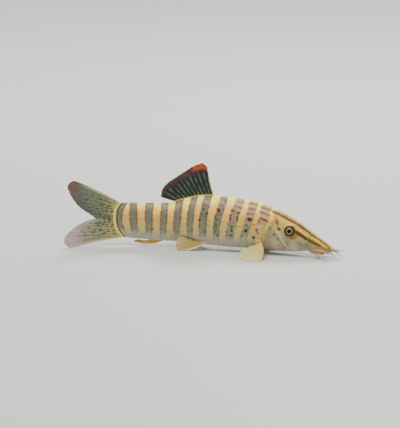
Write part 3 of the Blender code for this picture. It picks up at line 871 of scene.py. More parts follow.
@dataclass(frozen=True)
class FinFinish:
    """Thin membrane between paler bony rays.

    near is the web by the body, web its middle and far its margin, and the rays go with them.
    cover is how solid the web is there and at the margin, root_width how far the root's colour
    reaches, and patchy how far the paleness of the rays comes and goes.
    """

    name: str
    near: Tone
    web: Tone
    far: Tone
    ray_near: Tone
    ray: Tone
    ray_far: Tone
    root: Tone
    tip: Tone
    rim: Tone = tone(99, 53, 38)
    # Pale leading edge, and on the pectoral fins the colour of a painted glint of light.
    lead_and_glint: Tone = tone(209, 196, 142)
    blotch: Tone = tone(38, 38, 23)
    cover: Pair = (0.95, 0.8)
    root_width: float = 1.4
    patchy: float = 0.2

    def make(self) -> bpy.types.Material:
        """Build the material from what is stored on the fin.

        Returns:
            The material.
        """
        s = Shades(self.name, 0.4)
        place = s.read_point("straight")
        out, ray, run = s.read("out"), s.read("ray"), s.read("run")
        cloud = s.sum("SUBTRACT", s.grain(place, 3.0, 3.0), 0.5)
        away = s.sum("ADD", out, s.sum("MULTIPLY", cloud, 0.25))
        web = s.blend(s.rise(away, 0.08, 0.36), self.near, self.web)
        web = s.blend(s.rise(away, 0.45, 0.98), web, self.far)
        bone = s.blend(s.rise(away, 0.06, 0.4), self.ray_near, self.ray)
        bone = s.blend(s.rise(away, 0.45, 0.95), bone, self.ray_far)
        crest = s.rise(ray, 0.2, 0.75)
        patches = s.grain(place, 3.4, 1.0)
        clear = s.rise(patches, 0.36, 0.64, 1.0 - self.patchy, 1.0)
        color = s.blend(s.sum("MULTIPLY", crest, clear), web, bone)
        fleck = s.rise(s.grain(place, 1.1, 3.0), 0.38, 0.66, 0.0, 0.35)
        color = s.blend(fleck, color, web)
        ragged = s.sum("ADD", s.read("rim"), s.sum("MULTIPLY", cloud, 1.1))
        rim = s.sum("MULTIPLY", s.rise(ragged, 0.25, 0.85), s.rise(patches, 0.6, 0.4, 0.45, 1.0))
        color = s.blend(rim, color, self.rim)
        spots = s.sum("ADD", s.read("blotch"), s.sum("MULTIPLY", cloud, 0.5))
        spots = s.rise(spots, -0.28, 0.45)
        color = s.blend(s.sum("MULTIPLY", spots, 0.82), color, self.blotch)
        # Pale leading edges, and a painted glint on the pectoral fins.
        color = s.blend(s.sum("MULTIPLY", s.read("lead_and_glint"), 0.8), color, self.lead_and_glint)
        edge = s.sum("ADD", s.read("tip"), s.sum("MULTIPLY", cloud, 0.7))
        tip = s.blend(s.rise(s.grain(place, 1.5, 3.0), 0.4, 0.7, 0.0, 0.4), self.tip, self.far)
        color = s.blend(s.rise(edge, 0.2, 0.8), color, tip)
        base = s.rise(s.sum("ADD", run, cloud), self.root_width + 0.4, self.root_width - 0.3)
        color = s.blend(s.sum("MULTIPLY", base, 0.85), color, self.root)
        fine = s.rise(s.grain(place, 0.4, 4.0), 0.3, 0.75, 0.84, 1.12)
        color = s.blend(1.0, color, fine, "MULTIPLY")
        s.set("Base Color", color)
        cover = s.rise(away, 0.3, 1.0, *self.cover)
        solid = s.sum("MAXIMUM", s.rise(ray, 0.2, 0.6), s.rise(away, 0.16, 0.0))
        s.set("Alpha", s.sum("MAXIMUM", cover, s.sum("MAXIMUM", solid, spots)))
        joints = s.rise(s.sum("PINGPONG", run, 0.4), 0.0, 0.15)
        joints = s.sum("MULTIPLY", joints, crest)
        normal = s.relief(joints, 0.012)
        s.set("Normal", s.relief(s.grain(place, 0.5, 3.0), 0.02, normal))
        s.set("Specular IOR Level", 0.3)
        s.set("Coat Weight", 0.06)
        s.set("Coat Roughness", 0.25)
        return s.material


@dataclass(frozen=True)
class EyeFinish:
    """Black pupil in a silver ring, in a dark eyeball under a clear wet skin."""

    pupil: Tone = tone(8, 4, 2)
    inner: Tone = tone(38, 30, 21)
    silver: Tone = tone(148, 130, 96)
    ring: Tone = tone(44, 34, 15)
    outer: Tone = tone(80, 66, 30)
    pupil_edge: Pair = (1.3, 1.5)
    silver_start: Pair = (1.45, 1.7)
    silver_end: Pair = (2.5, 2.25)
    ring_start: Pair = (2.35, 2.65)
    outer_start: Pair = (2.8, 3.5)

    def make(self) -> bpy.types.Material:
        """Build the material from the distance to the middle of the pupil.

        Returns:
            The material.
        """
        s = Shades("eye_with_silver_ring", 0.2)
        place = s.read_point("disc")
        radius = s.sum("ADD", s.read("radius"), s.sum("MULTIPLY", s.grain(place, 0.5), 0.12))
        color = s.blend(s.rise(radius, *self.pupil_edge), self.pupil, self.inner)
        silver = s.rise(radius, *self.silver_start)
        silver = s.sum("MULTIPLY", silver, s.rise(radius, *self.silver_end))
        fleck = s.rise(s.grain(place, 0.5, 3.0), 0.35, 0.7, 0.95, 0.5)
        color = s.blend(s.sum("MULTIPLY", silver, fleck), color, self.silver)
        color = s.blend(s.rise(radius, *self.ring_start), color, self.ring)
        color = s.blend(s.rise(radius, *self.outer_start), color, self.outer)
        s.set("Base Color", color)
        s.set("Specular IOR Level", 0.08)
        s.set("Coat Weight", 0.14)
        s.set("Coat Roughness", 0.04)
        return s.material


@dataclass(frozen=True)
class BarbelFinish:
    """Soft feeler, dark at the root and pale at the tip."""

    root: Tone = tone(114, 70, 38)
    middle: Tone = tone(144, 131, 118)
    tip: Tone = tone(220, 222, 217)
    fleck: Tone = tone(66, 49, 38)

    def make(self) -> bpy.types.Material:
        """Build the material from the share of the feeler's length.

        Returns:
            The material.
        """
        s = Shades("soft_feeler", 0.4)
        place, run = s.read_point("straight"), s.read("run")
        color = s.scale(run, ((0.0, self.root), (0.4, self.middle), (1.0, self.tip)))
        flecks = s.rise(s.grain(place, 0.6, 3.0), 0.4, 0.7, 0.0, 0.4)
        color = s.blend(flecks, color, self.fleck)
        s.set("Base Color", color)
        s.set("Normal", s.relief(s.cells(place, 0.22), 0.015))
        s.set("Coat Weight", 0.1)
        s.set("Coat Roughness", 0.15)
        return s.material


@dataclass
class Markings:
    """Bars, spots and lines on the skin, as places on the flank.

    A bar has its station at three heights and half its breadth, and the bar and the line at
    the end of the flesh how far they are ahead of it and half their breadth. A spot or a sheen
    is a station, a height, a radius and a strength. A line is a half breadth and its points:
    streaks are brown, stripes darker on them, dashes short and soft, and bands golden. crown
    is the pale line on the head: half its breadth, its two ends and its lowest height.
    """

    body: Body
    bar_heights: Triple = (12.0, 23.0, 34.0)
    bars: Rows = (
        (-50.7, -51.7, -51.7, 2.85), (-40.1, -40.3, -39.8, 2.95), (-29.7, -29.3, -28.9, 2.7),
        (-19.7, -19.1, -18.5, 2.8), (-9.9, -9.4, -8.1, 2.5), (-0.5, -0.1, 1.4, 2.95),
        (9.1, 10.5, 13.1, 2.75), (19.0, 21.7, 24.6, 3.25), (29.3, 33.0, 35.0, 3.0),
        (38.0, 43.0, 44.6, 3.4),
    )
    end_bar: Pair = (2.4, 2.55)
    end_line: Pair = (0.6, 0.8)
    bar_foot: float = 0.82
    bar_foot_heights: Pair = (8.0, 20.0)
    bar_lean: float = 0.1
    front_fade: float = 0.25
    front_fade_reach: Pair = (4.0, 40.0)
    shoulder_edge: Pair = (27.5, 0.455)
    shoulder_top: Pair = (19.0, 24.0)
    shoulder_fade: float = 0.62
    spots: Rows = (
        (36.8, 12.5, 1.0, 1.0), (31.2, 17.0, 1.4, 1.0), (39.1, 18.1, 0.8, 1.0),
        (40.0, 16.0, 0.75, 0.75), (31.6, 20.9, 0.8, 0.75), (32.7, 19.0, 0.7, 0.6),
        (33.6, 25.1, 1.3, 0.95), (20.9, 19.2, 0.8, 0.9), (20.7, 16.5, 0.9, 0.95),
        (20.0, 12.8, 0.9, 0.8), (17.6, 21.2, 0.8, 0.6), (16.7, 15.7, 0.7, 0.55),
        (28.4, 13.3, 0.9, 0.6), (20.4, 30.3, 1.0, 0.7), (14.1, 31.3, 0.8, 0.5),
        (25.0, 28.8, 0.9, 0.9), (24.7, 26.1, 0.9, 0.95), (24.8, 24.1, 0.9, 0.9),
        (19.5, 27.0, 0.9, 0.75), (19.4, 24.8, 0.9, 0.8), (10.9, 29.8, 1.1, 1.0),
        (8.5, 25.5, 0.9, 0.55), (10.2, 23.6, 0.9, 0.75), (9.0, 20.0, 0.8, 0.6),
        (9.7, 18.1, 0.8, 0.6), (9.0, 15.4, 0.8, 0.7), (10.3, 12.3, 0.9, 0.75),
        (2.3, 27.3, 1.0, 0.75), (55.1, 19.7, 1.2, 0.9), (48.9, 20.1, 1.5, 0.5),
        (52.2, 15.7, 1.0, 0.7), (54.6, 12.5, 0.9, 0.55), (52.0, 27.2, 0.9, 0.45),
        (4.3, 22.5, 0.8, 0.5), (3.0, 19.0, 0.8, 0.5), (26.0, 20.0, 0.7, 0.3),
        (-0.3, 29.9, 0.9, 0.8), (-1.6, 26.8, 0.85, 0.75), (2.0, 25.0, 0.8, 0.6),
        (-2.5, 22.8, 0.9, 0.8), (1.5, 20.2, 0.7, 0.6), (1.4, 16.6, 0.7, 0.6), (0.9, 14.1, 0.8, 0.6),
        (13.9, 31.4, 0.8, 0.6), (12.2, 27.1, 0.8, 0.5), (15.1, 35.5, 1.2, 0.6),
        (25.4, 20.0, 0.7, 0.4), (-11.7, 27.3, 0.7, 0.4), (-9.9, 31.4, 0.7, 0.4),
    )
    rusty: Rows = (
        (40.5, 23.7, 1.3, 0.9), (37.1, 21.1, 1.4, 0.8), (43.2, 12.6, 1.1, 0.8),
        (42.4, 10.2, 0.9, 0.8), (44.9, 15.3, 1.0, 0.7),
    )
    blushes: Strokes = (
        (0.9, (63.0, 14.2), (66.0, 14.1), (68.2, 15.3), (69.6, 17.2)),
    )
    streaks: Strokes = (
        (0.45, (41.4, 26.4), (46.6, 24.5)),
        (1.0, (49.4, 30.6), (58.5, 27.0), (65.4, 23.8), (70.5, 21.0)),
        (0.8, (67.0, 23.0), (75.3, 17.9), (80.5, 14.6), (86.0, 11.4), (91.0, 8.0)),
        (1.2, (67.4, 18.0), (73.5, 14.7), (78.6, 12.0), (84.0, 9.5)),
        (0.45, (83.0, 9.8), (87.0, 8.3), (91.0, 7.0)),
    )
    stripes: Strokes = (
        (0.75, (67.2, 18.1), (70.6, 16.4), (74.4, 14.1)), (0.3, (73.0, 19.4), (80.5, 14.7)),
        (0.25, (83.0, 13.2), (91.4, 7.8)),
    )
    dashes: Strokes = (
        (1.3, (52.9, 25.3), (54.0, 23.2)),
        (1.0, (40.7, 33.4), (47.2, 31.2)), (0.85, (39.7, 30.7), (47.6, 28.3)),
        (0.85, (40.9, 26.6), (47.0, 24.4)), (0.65, (31.7, 35.2), (37.4, 34.3)),
        (0.8, (31.9, 32.2), (36.2, 31.6)), (0.65, (31.6, 28.8), (39.0, 28.7)),
        (1.0, (32.0, 25.3), (35.6, 24.8)), (0.6, (23.6, 35.7), (27.9, 35.2)),
        (0.7, (22.4, 33.2), (27.2, 32.1)), (0.55, (20.4, 30.3), (22.6, 30.0)),
        (0.6, (24.0, 29.2), (26.6, 28.8)), (0.55, (12.4, 36.6), (16.4, 36.0)),
        (0.5, (11.4, 33.6), (14.0, 33.2)), (0.5, (0.4, 36.2), (3.6, 36.0)),
        (0.5, (-0.6, 32.9), (1.6, 32.7)), (0.5, (9.2, 30.9), (11.4, 30.6)),
    )
    bands: Strokes = (
        (1.5, (50.0, 27.6), (57.3, 25.4), (63.4, 22.6), (70.8, 18.9), (78.1, 15.0), (85.5, 10.9),
         (90.5, 8.1)),
        (1.4, (45.0, 17.0), (42.9, 12.7), (41.2, 9.4), (40.0, 7.2)),
        (0.8, (42.4, 15.0), (40.8, 11.8), (39.4, 8.6)),
    )
    # The first three are pale lines; the last three are painted highlights, one above the eye and two at
    # the foot of the pectoral fin.
    pales_and_highlights: Strokes = (
        (0.32, (52.8, 19.5), (54.4, 17.5), (56.5, 14.4), (58.3, 10.8), (59.8, 8.3), (61.5, 6.3),
         (64.1, 5.2), (66.5, 5.0)),
        (0.1, (46.4, 19.4), (46.9, 21.0), (47.9, 22.2), (49.3, 22.7)),
        (0.1, (35.6, 19.6), (39.0, 20.9), (42.6, 20.4)),
        (0.2, (60.8, 22.8), (62.8, 22.9), (64.2, 22.4)),
        (0.55, (39.4, 8.2), (39.0, 7.6)), (0.5, (37.5, 5.5), (37.2, 5.0)),
    )
    crown: Row = (0.6, 47.0, 79.0, 7.5)
    sheens: Rows = ((51.8, 9.6, 6.5, 0.5), (66.0, 7.6, 6.5, 0.4), (56.0, 15.0, 4.0, 0.25))

    def folded(self, points: Array) -> Array:
        """The points carried onto the left flank, the left ones drawn a little differently.

        Args:
            points: The points of the skin.

        Returns:
            Their places there.
        """
        apart = ramp(points[..., 1], -1.0, 3.0)
        x = points[..., 0] + apart * 0.7 * np.sin(0.31 * points[..., 0] + 1.0)
        z = points[..., 2] + apart * 0.5 * np.sin(0.43 * points[..., 0])
        return np.stack([x, np.abs(points[..., 1]), z], axis=-1)

    def inside_bars(self, points: Array) -> Array:
        """How far each point lies inside the nearest dark bar, in millimetres.

        Args:
            points: Points on the left flank.

        Returns:
            The distance inside, which is below 0 outside.
        """
        x, z = points[..., 0], points[..., 2]
        narrow = self.bar_foot + (1.0 - self.bar_foot) * ramp(z, *self.bar_foot_heights)
        inside = self.inside_end(points, *self.end_bar)
        for *stations, half in self.bars:
            middle = Line(list(zip(self.bar_heights, stations)))(z)
            middle += (z - np.clip(z, self.bar_heights[0], self.bar_heights[-1])) * self.bar_lean
            inside = np.maximum(inside, half * narrow - np.abs(x - middle))
        return inside

    def inside_end(self, points: Array, ahead: float, half: float) -> Array:
        """How far each point lies inside a stripe that follows the end of the flesh."""
        x, z = points[..., 0], points[..., 2]
        return half - np.abs(x - self.body.flesh_end(z) - ahead)

    def inside_crown(self, points: Array) -> Array:
        """How far each point lies inside the pale line along the middle of the head.

        Args:
            points: Points of the skin.

        Returns:
            The distance inside, which is below 0 outside.
        """
        x, y, z = np.moveaxis(points, -1, 0)
        half, rear, front, lowest = self.crown
        on_line = (x >= rear) & (x <= front) & (z >= lowest)
        return np.where(on_line, half - np.abs(y), OUTSIDE)

    def bar_strength(self, points: Array) -> Array:
        """How strong the dark bars are, which fade on the shoulder below the nape.

        Args:
            points: Points on the left flank.

        Returns:
            The strength, from 0 to 1.
        """
        x, z = points[..., 0], points[..., 2]
        start, lean = self.shoulder_edge
        shoulder = ramp(x - start - lean * z, -0.5, 0.8) * (1.0 - ramp(z, *self.shoulder_top))
        front = 1.0 - self.front_fade * ramp(x, *self.front_fade_reach)
        return front * (1.0 - self.shoulder_fade * shoulder)

    def inside_spots(self, points: Array, rows: Rows) -> tuple[Array, Array]:
        """How far each point lies inside the nearest spot, and how strong that spot is.

        Args:
            points: Points on the left flank.
            rows: The spots.

        Returns:
            The distance inside, which is below 0 outside, and the strength.
        """
        inside = np.full(points.shape[:-1], OUTSIDE)
        strength = np.zeros(points.shape[:-1])
        for centre, row in zip(self.body.on_flank(rows), rows):
            here = row[2] - np.linalg.norm(points - centre, axis=-1)
            nearer = here > inside
            inside[nearer], strength[nearer] = here[nearer], row[3]
        return inside, strength

    def sheen(self, points: Array) -> Array:
        """Share of the pale shine at each point of the cheek.

        Args:
            points: Points on the left flank.

        Returns:
            The share, from 0 to 1.
        """
        share = np.zeros(points.shape[:-1])
        for centre, row in zip(self.body.on_flank(self.sheens), self.sheens):
            off = np.linalg.norm(points - centre, axis=-1)
            share = np.maximum(share, row[3] * hump(off, row[2]))
        return share

    def inside_lines(self, points: Array, lines: Strokes) -> Array:
        """How far each point lies inside the nearest painted line.

        Args:
            points: Points on the left flank.
            lines: The lines.

        Returns:
            The distance inside, which is below 0 outside.
        """
        inside = np.full(points.shape[:-1], OUTSIDE)
        for half, *rows in lines:
            steps = np.linspace(0, 1, 6 * len(rows))
            way = path_by_length(self.body.on_flank(rows))(steps)
            least = 0.5 if len(rows) == 2 else 1.0
            taper = least + (1.0 - least) * np.sqrt(np.sin(np.pi * steps).clip(0.0))
            for start, end, full in zip(way, way[1:], taper):
                inside = np.maximum(inside, half * full - distance_to(points, start, end))
        return inside


@dataclass
class Skin:
    """One skin over head, trunk and tail, with the forms of the head worked into it.

    spacing is the step between the rings at a station. edge_lift and edge_slide tuck the skin
    under the free edge of the gill cover, by how far behind the edge it lies. A crest is how
    far out it lies, its reach and its height, and a span is where it starts, is full, falls
    and ends.
    """

    body: Body
    backbone: Backbone
    eyes: EyeSeat
    markings: Markings
    sides: int = 208
    spacing: Rows = (
        (93.0, 0.015), (92.9, 0.04), (92.0, 0.13), (90.0, 0.17), (78.0, 0.2), (71.0, 0.27),
        (54.0, 0.3), (49.5, 0.26), (47.3, 0.13), (44.6, 0.12), (43.2, 0.25), (37.0, 0.5),
        (0.0, 0.62), (-54.0, 0.6),
    )
    tail_start: float = -54.0
    tail_rings: int = 26
    gill_mean: float = 46.0
    edge_lift: Rows = (
        (-1.5, 0.0), (-0.95, 0.0), (-0.6, -0.4), (-0.3, -0.25), (-0.12, 0.45), (0.0, 1.0),
    )
    edge_slide: Rows = (
        (-1.5, 0.0), (-0.95, 0.75), (-0.6, 0.95), (-0.3, 0.6), (-0.12, 0.12), (0.0, 0.0),
    )
    lip_radius: float = 1.05
    lip_start: float = 72.0
    lip_top: float = 9.0
    lips: tuple[Rows, ...] = (
        ((80.0, 3.8, 5.7), (84.5, 3.4, 5.5), (87.9, 2.1, 5.0), (89.3, 0.0, 4.9)),
        ((79.6, 3.6, 5.1), (82.6, 2.9, 4.0), (84.8, 1.6, 3.5), (85.6, 0.0, 3.4)),
    )
    chin: Rows = ((79.6, 0.0, 4.7), (5.2, 3.2, 2.3))
    mouth_line: Rows = ((81.4, 5.35), (86.5, 4.45), (90.5, 3.35))
    mouth_span: Row = (80.6, 81.8, 88.6, 89.6)
    mouth_top: float = 6.2
    mouth_depth: float = 0.9
    mouth_middle: Triple = (84.5, 3.0, 6.5)
    mouth_stretch: Triple = (0.6, 0.6, 1.0)
    snout_top: Rows = ((70.0, 17.0), (79.0, 12.0), (85.0, 9.0), (93.0, 6.6))
    eye_crests: Rows = ((3.95, 0.55, 0.28), (0.0, 6.5, 0.2))
    eye_edge: Pair = (2.9, 3.5)
    eye_depth: float = 1.8
    eye_crease: Row = (3.45, 0.3, 1.0)
    socket_radius: float = 4.1
    nostrils: Rows = ((77.0, 15.6), (75.6, 16.4))
    nostril_rims: Rows = ((0.75, 0.45, 0.4), (0.75, 0.45, 0.28))
    nostril_pit: Row = (0.0, 0.62, -0.55)
    spine_groove: Rows = ((68.2, 16.5), (63.8, 12.9))
    groove_crests: Rows = ((0.0, 0.28, 0.2), (0.0, 0.62, -0.28), (0.8, 0.35, 0.1))
    cheek_crest: Row = (0.0, 0.8, 0.16)
    flank_line: Row = (0.0, 0.5, -0.07)
    flank_line_level: float = 0.53
    flank_line_front: Pair = (41.5, 43.5)
    fin_lobe: Pair = (40.6, 8.4)
    fin_lobe_crest: Row = (0.0, 4.4, 0.8)
    fin_ridge: Row = (0.0, 1.6, 0.3)
    dorsal_span: Row = (-24.0, -20.0, 4.0, 7.5)
    anal_span: Row = (-43.0, -39.5, -32.0, -29.5)
    underside: float = 12.0
    vent: float = -27.6
    vent_crests: Rows = ((0.5, 0.9, 0.5), (0.0, 0.5, -0.3))
    throat_span: Row = (44.5, 47.0, 62.0, 68.0)
    throat_top: float = 7.0

    def rings(self) -> Array:
        """Stations of the rings, closer together where the form is finer.

        Returns:
            The stations, from the snout back.
        """
        spacing = Line(self.spacing)
        places = [self.body.snout]
        while places[-1] > self.tail_start:
            places.append(places[-1] - float(spacing(places[-1])))
        return np.array(places)

    def base(self) -> tuple[Array, Array]:
        """Plain skin, with its rings along the gill opening and the end of the flesh.

        Returns:
            The points, ring by ring, and how far each is ahead of the gill opening.
        """
        angle = np.linspace(0.0, 2.0 * np.pi, self.sides + 1)
        nominal = self.rings()
        share = np.concatenate([np.zeros(len(nominal)), np.linspace(0, 1, self.tail_rings + 1)[1:]])
        nominal = np.concatenate([nominal, np.full(self.tail_rings, nominal[-1])])[:, None]
        share, angle = share[:, None], angle[None, :]
        pull = 1.0 - ramp(np.abs(nominal - self.gill_mean), 1.6, 13.0)
        x = nominal + 0.0 * angle
        for _ in range(6):
            y, z = self.body.section(x, angle)
            x = nominal + pull * (self.body.gill(z) - self.gill_mean)
            x = x + share * (self.body.flesh_end(z) - nominal)
        y, z = self.body.section(x, angle)
        thin = ramp(share, 0.45, 1.0) ** 1.5
        y = y * (1.0 - thin) + np.sign(y) * np.minimum(np.abs(y), 0.4) * thin
        y[-1] = 0.0
        return np.stack([x, y, z], axis=-1), nominal - self.gill_mean + 0.0 * angle

    def normals(self, points: Array) -> Array:
        """Outward direction at every point of the grid.

        Args:
            points: The skin.

        Returns:
            The directions, of length 1.
        """
        along = np.gradient(points, axis=0)
        around = np.gradient(points, axis=1)
        around[:, 0] = around[:, -1] = points[:, 1] - points[:, -2]
        normal = np.cross(around, along)
        length = np.linalg.norm(normal, axis=-1, keepdims=True)
        normal = np.where(length > 1e-9, normal / np.maximum(length, 1e-9), (1.0, 0.0, 0.0))
        outward = points - np.stack([points[..., 0], 0 * points[..., 0],
                                     self.body.widest_level(points[..., 0])], axis=-1)
        return normal * np.where(np.sum(normal * outward, axis=-1, keepdims=True) < 0, -1, 1)

    def lip_swell(self, points: Array, normals: Array) -> Array:
        """How far each point moves out to the surface of the lips and the chin.

        Args:
            points: The skin.
            normals: Its outward directions.

        Returns:
            The distance at each point.
        """
        swell = np.zeros(points.shape[:-1])
        near = (points[..., 0] > self.lip_start) & (points[..., 2] < self.lip_top)
        start, facing = points[near], normals[near]
        out = np.zeros(len(start))
        for rows in self.lips:
            across = list(rows) + [(x, -y, z) for x, y, z in reversed(rows[:-1])]
            share = np.linspace(0.0, 1.0, 90)
            radius = self.lip_radius * (0.7 + 0.3 * np.sin(np.pi * share) ** 0.5)
            for centre, size in zip(path_by_length(across)(share), radius):
                reach = np.sum((centre - start) * facing, axis=-1)
                hit = size ** 2 - np.sum((centre - start) ** 2, axis=-1) + reach ** 2
                out = np.maximum(out, np.where(hit > 0, reach + np.sqrt(np.maximum(hit, 0)), 0))
        centre, radii = np.array(self.chin[0]), np.array(self.chin[1])
        start, facing = (start - centre) / radii, facing / radii
        a, b = np.sum(facing ** 2, axis=-1), np.sum(start * facing, axis=-1)
        hit = b ** 2 - a * (np.sum(start ** 2, axis=-1) - 1.0)
        out = np.maximum(out, np.where(hit > 0, (np.sqrt(np.maximum(hit, 0)) - b) / a, 0))
        swell[near] = out
        return self.smoothed(swell, 2)

    @staticmethod
    def smoothed(values: Array, rounds: int) -> Array:
        """Level values a little with their neighbours on the grid.

        Args:
            values: The numbers.
            rounds: How often they are levelled.

        Returns:
            The levelled numbers.
        """
        for _ in range(rounds):
            ring = np.concatenate([values[:1], values, values[-1:]])
            values = 0.25 * ring[:-2] + 0.5 * values + 0.25 * ring[2:]
            turn = np.concatenate([values[:, -2:-1], values, values[:, 1:2]], axis=1)
            values = 0.25 * turn[:, :-2] + 0.5 * values + 0.25 * turn[:, 2:]
        return values

    def gill_edge(self, points: Array, ahead: Array) -> tuple[Array, Array]:
        """Lift the gill cover and tuck the skin under its free edge.

        Args:
            points: The skin.
            ahead: How far each point is ahead of the gill opening.

        Returns:
            The new points, and how deep in the opening each lies, from 0 to 1.
        """
        rise = self.body.rise(self.body.gill(points[..., 2]), points[..., 2])
        open_here = ramp(rise, 0.15, 0.7)
        lift = np.where(ahead >= 0, self.body.rise(points[..., 0], points[..., 2]), 0.0)
        behind = (ahead < 0) & (ahead > self.edge_lift[0][0])
        full = np.where(ahead > -0.25, rise, 0.8 * open_here)
        lift = np.where(behind, Line(self.edge_lift)(ahead) * full, lift)
        slide = np.where(behind, Line(self.edge_slide)(ahead) * open_here, 0.0)
        depth = np.where(behind, hump(ahead + 0.55, 0.6), 0.0) * open_here
        moved = points.copy()
        moved[..., 0] += slide
        moved[..., 1] += np.sign(points[..., 1]) * lift
        return moved, depth

    def girth(self, points: Array) -> Array:
        """Way up each ring from the middle of the belly, on either side.

        Args:
            points: The skin.

        Returns:
            The length at each point.
        """
        step = np.linalg.norm(np.diff(points, axis=1), axis=-1)
        run = np.concatenate([np.zeros((len(points), 1)), np.cumsum(step, axis=1)], axis=1)
        belly = run[:, 3 * self.sides // 4][:, None]
        apart = np.abs(run - belly)
        return np.minimum(apart, run[:, -1:] - apart)

    def eye_radius(self, points: Array) -> Array:
        """Distance of each point from the axis of the eye on its side.

        Args:
            points: Points on the left flank.

        Returns:
            The distance, or a great one where the point is far behind the eye.
        """
        forward, outward, upward = self.eyes.axes(self.body, Side.LEFT)
        off = points - self.eyes.centre(self.body, Side.LEFT)
        radius = np.hypot(off @ forward, off @ upward)
        return np.where(off @ outward > -3.0, radius, FAR)

    def relief(self, folded: Array) -> tuple[Array, Array]:
        """Small forms of the skin.

        Args:
            folded: The points on the left flank.

        Returns:
            How far each point moves outward, and how deep in a crease it lies, from 0 to 1.
        """
        rise, crease = self.body_relief(folded), np.zeros(folded.shape[:-1])
        for part in (self.eye_relief, self.nostril_relief, self.groove_relief, self.throat_relief):
            height, depth = part(folded)
            rise, crease = rise + height, np.maximum(crease, depth)
        return rise, crease

    def eye_relief(self, folded: Array) -> tuple[Array, Array]:
        """Raised rim of the eye around the hollow for the eyeball, and the crease between.

        Args:
            folded: The points on the left flank.

        Returns:
            How far each moves outward, and how deep in a crease it lies, from 0 to 1.
        """
        radius = self.eye_radius(folded)
        hollow = self.eye_depth * (1.0 - ramp(radius, *self.eye_edge))
        return crests(radius, *self.eye_crests) - hollow, crests(radius, self.eye_crease)

    def nostril_relief(self, folded: Array) -> tuple[Array, Array]:
        """Pits of the nostrils, each in a raised rim.

        Args:
            folded: The points on the left flank.

        Returns:
            How far each moves outward, and how deep in a crease it lies, from 0 to 1.
        """
        rise, crease = np.zeros(folded.shape[:-1]), np.zeros(folded.shape[:-1])
        for centre, rim in zip(self.body.on_flank(self.nostrils), self.nostril_rims):
            off = np.linalg.norm(folded - centre, axis=-1)
            rise += crests(off, rim, self.nostril_pit)
            crease = np.maximum(crease, ramp(off, 0.6, 0.3))
        return rise, crease

    def groove_relief(self, folded: Array) -> tuple[Array, Array]:
        """Groove below the eye with the spine folded in it, and the creases beside the spine."""
        off = distance_to(folded, *self.body.on_flank(self.spine_groove))
        return crests(off, *self.groove_crests), 0.5 * ramp(off, 0.6, 0.35) * ramp(off, 0.1, 0.25)

    def throat_relief(self, folded: Array) -> tuple[Array, Array]:
        """Fold where each gill cover ends under the throat, and its crease.

        Args:
            folded: The points on the left flank.

        Returns:
            How far each moves outward, and how deep in a crease it lies, from 0 to 1.
        """
        x, y, z = np.moveaxis(folded, -1, 0)
        beside = y - 1.2 - 3.4 * ramp(x, 58.0, 46.0)
        fold = hump(beside, 0.55) * span(x, *self.throat_span) * (z < self.throat_top)
        return -0.35 * fold, 0.4 * fold

    def body_relief(self, folded: Array) -> Array:
        """Ridge on the cheek, line along the flank, roots and ridges of the fins, and the vent.

        Args:
            folded: The points on the left flank.

        Returns:
            How far each moves outward.
        """
        x, y, z = np.moveaxis(folded, -1, 0)
        under = z < self.underside
        cheek = -self.markings.inside_lines(folded, ((0.0, *self.markings.pales_and_highlights[0][1:]),))
        low, high = self.body.belly(x), self.body.back(x)
        line = crests(z - low - self.flank_line_level * (high - low), self.flank_line)
        line *= (1.0 - ramp(x, *self.flank_line_front)) * (0.7 + 0.3 * np.sin(x * 4.0))
        lobe = np.hypot(x - self.fin_lobe[0], (z - self.fin_lobe[1]) / 0.8)
        ridge = np.where(under, span(x, *self.anal_span), span(x, *self.dorsal_span))
        rise = crests(cheek, self.cheek_crest) + line
        rise += crests(lobe, self.fin_lobe_crest) * (y > 3.0)
        rise += crests(y, self.fin_ridge) * ridge
        return rise + crests(np.hypot(x - self.vent, y * 1.4), *self.vent_crests) * under

    def mouth_slot(self, points: Array) -> Array:
        """Share of each point in the slot between the lips, by where it is in side view."""
        slot = hump(points[..., 2] - Line(self.mouth_line)(points[..., 0]), 0.42)
        return slot * span(points[..., 0], *self.mouth_span) * (points[..., 2] < self.mouth_top)

    def build(self) -> bpy.types.Object:
        """Shape the skin, paint its marks on it and dress it.

        Returns:
            The skin.
        """
        points, ahead = self.base()
        points, depth = self.gill_edge(points, ahead)
        normals = self.normals(points)
        points = points + normals * self.lip_swell(points, normals)[..., None]
        folded = np.stack([points[..., 0], np.abs(points[..., 1]), points[..., 2]], axis=-1)
        rise, crease = self.relief(folded)
        slot = self.smoothed(self.mouth_slot(points), 1)
        rise = rise - self.mouth_depth * slot
        rise[0] = rise[1] = 0.0
        rise[-self.tail_rings // 2:] = 0.0
        points = points + normals * rise[..., None]

        sheet = Sheet("skin", len(points) - 1, self.sides)
        sheet.lay(self.backbone.bend(points))
        # Creases, gill openings and the mouth's slot are stored to be painted dark as shade.
        self.paint(sheet, points, np.maximum(np.maximum(crease, depth), slot))
        skin = sheet.finish(closed=True)
        settle(skin, SkinFinish().make(), "skin", "head", "trunk", "tail")
        return skin

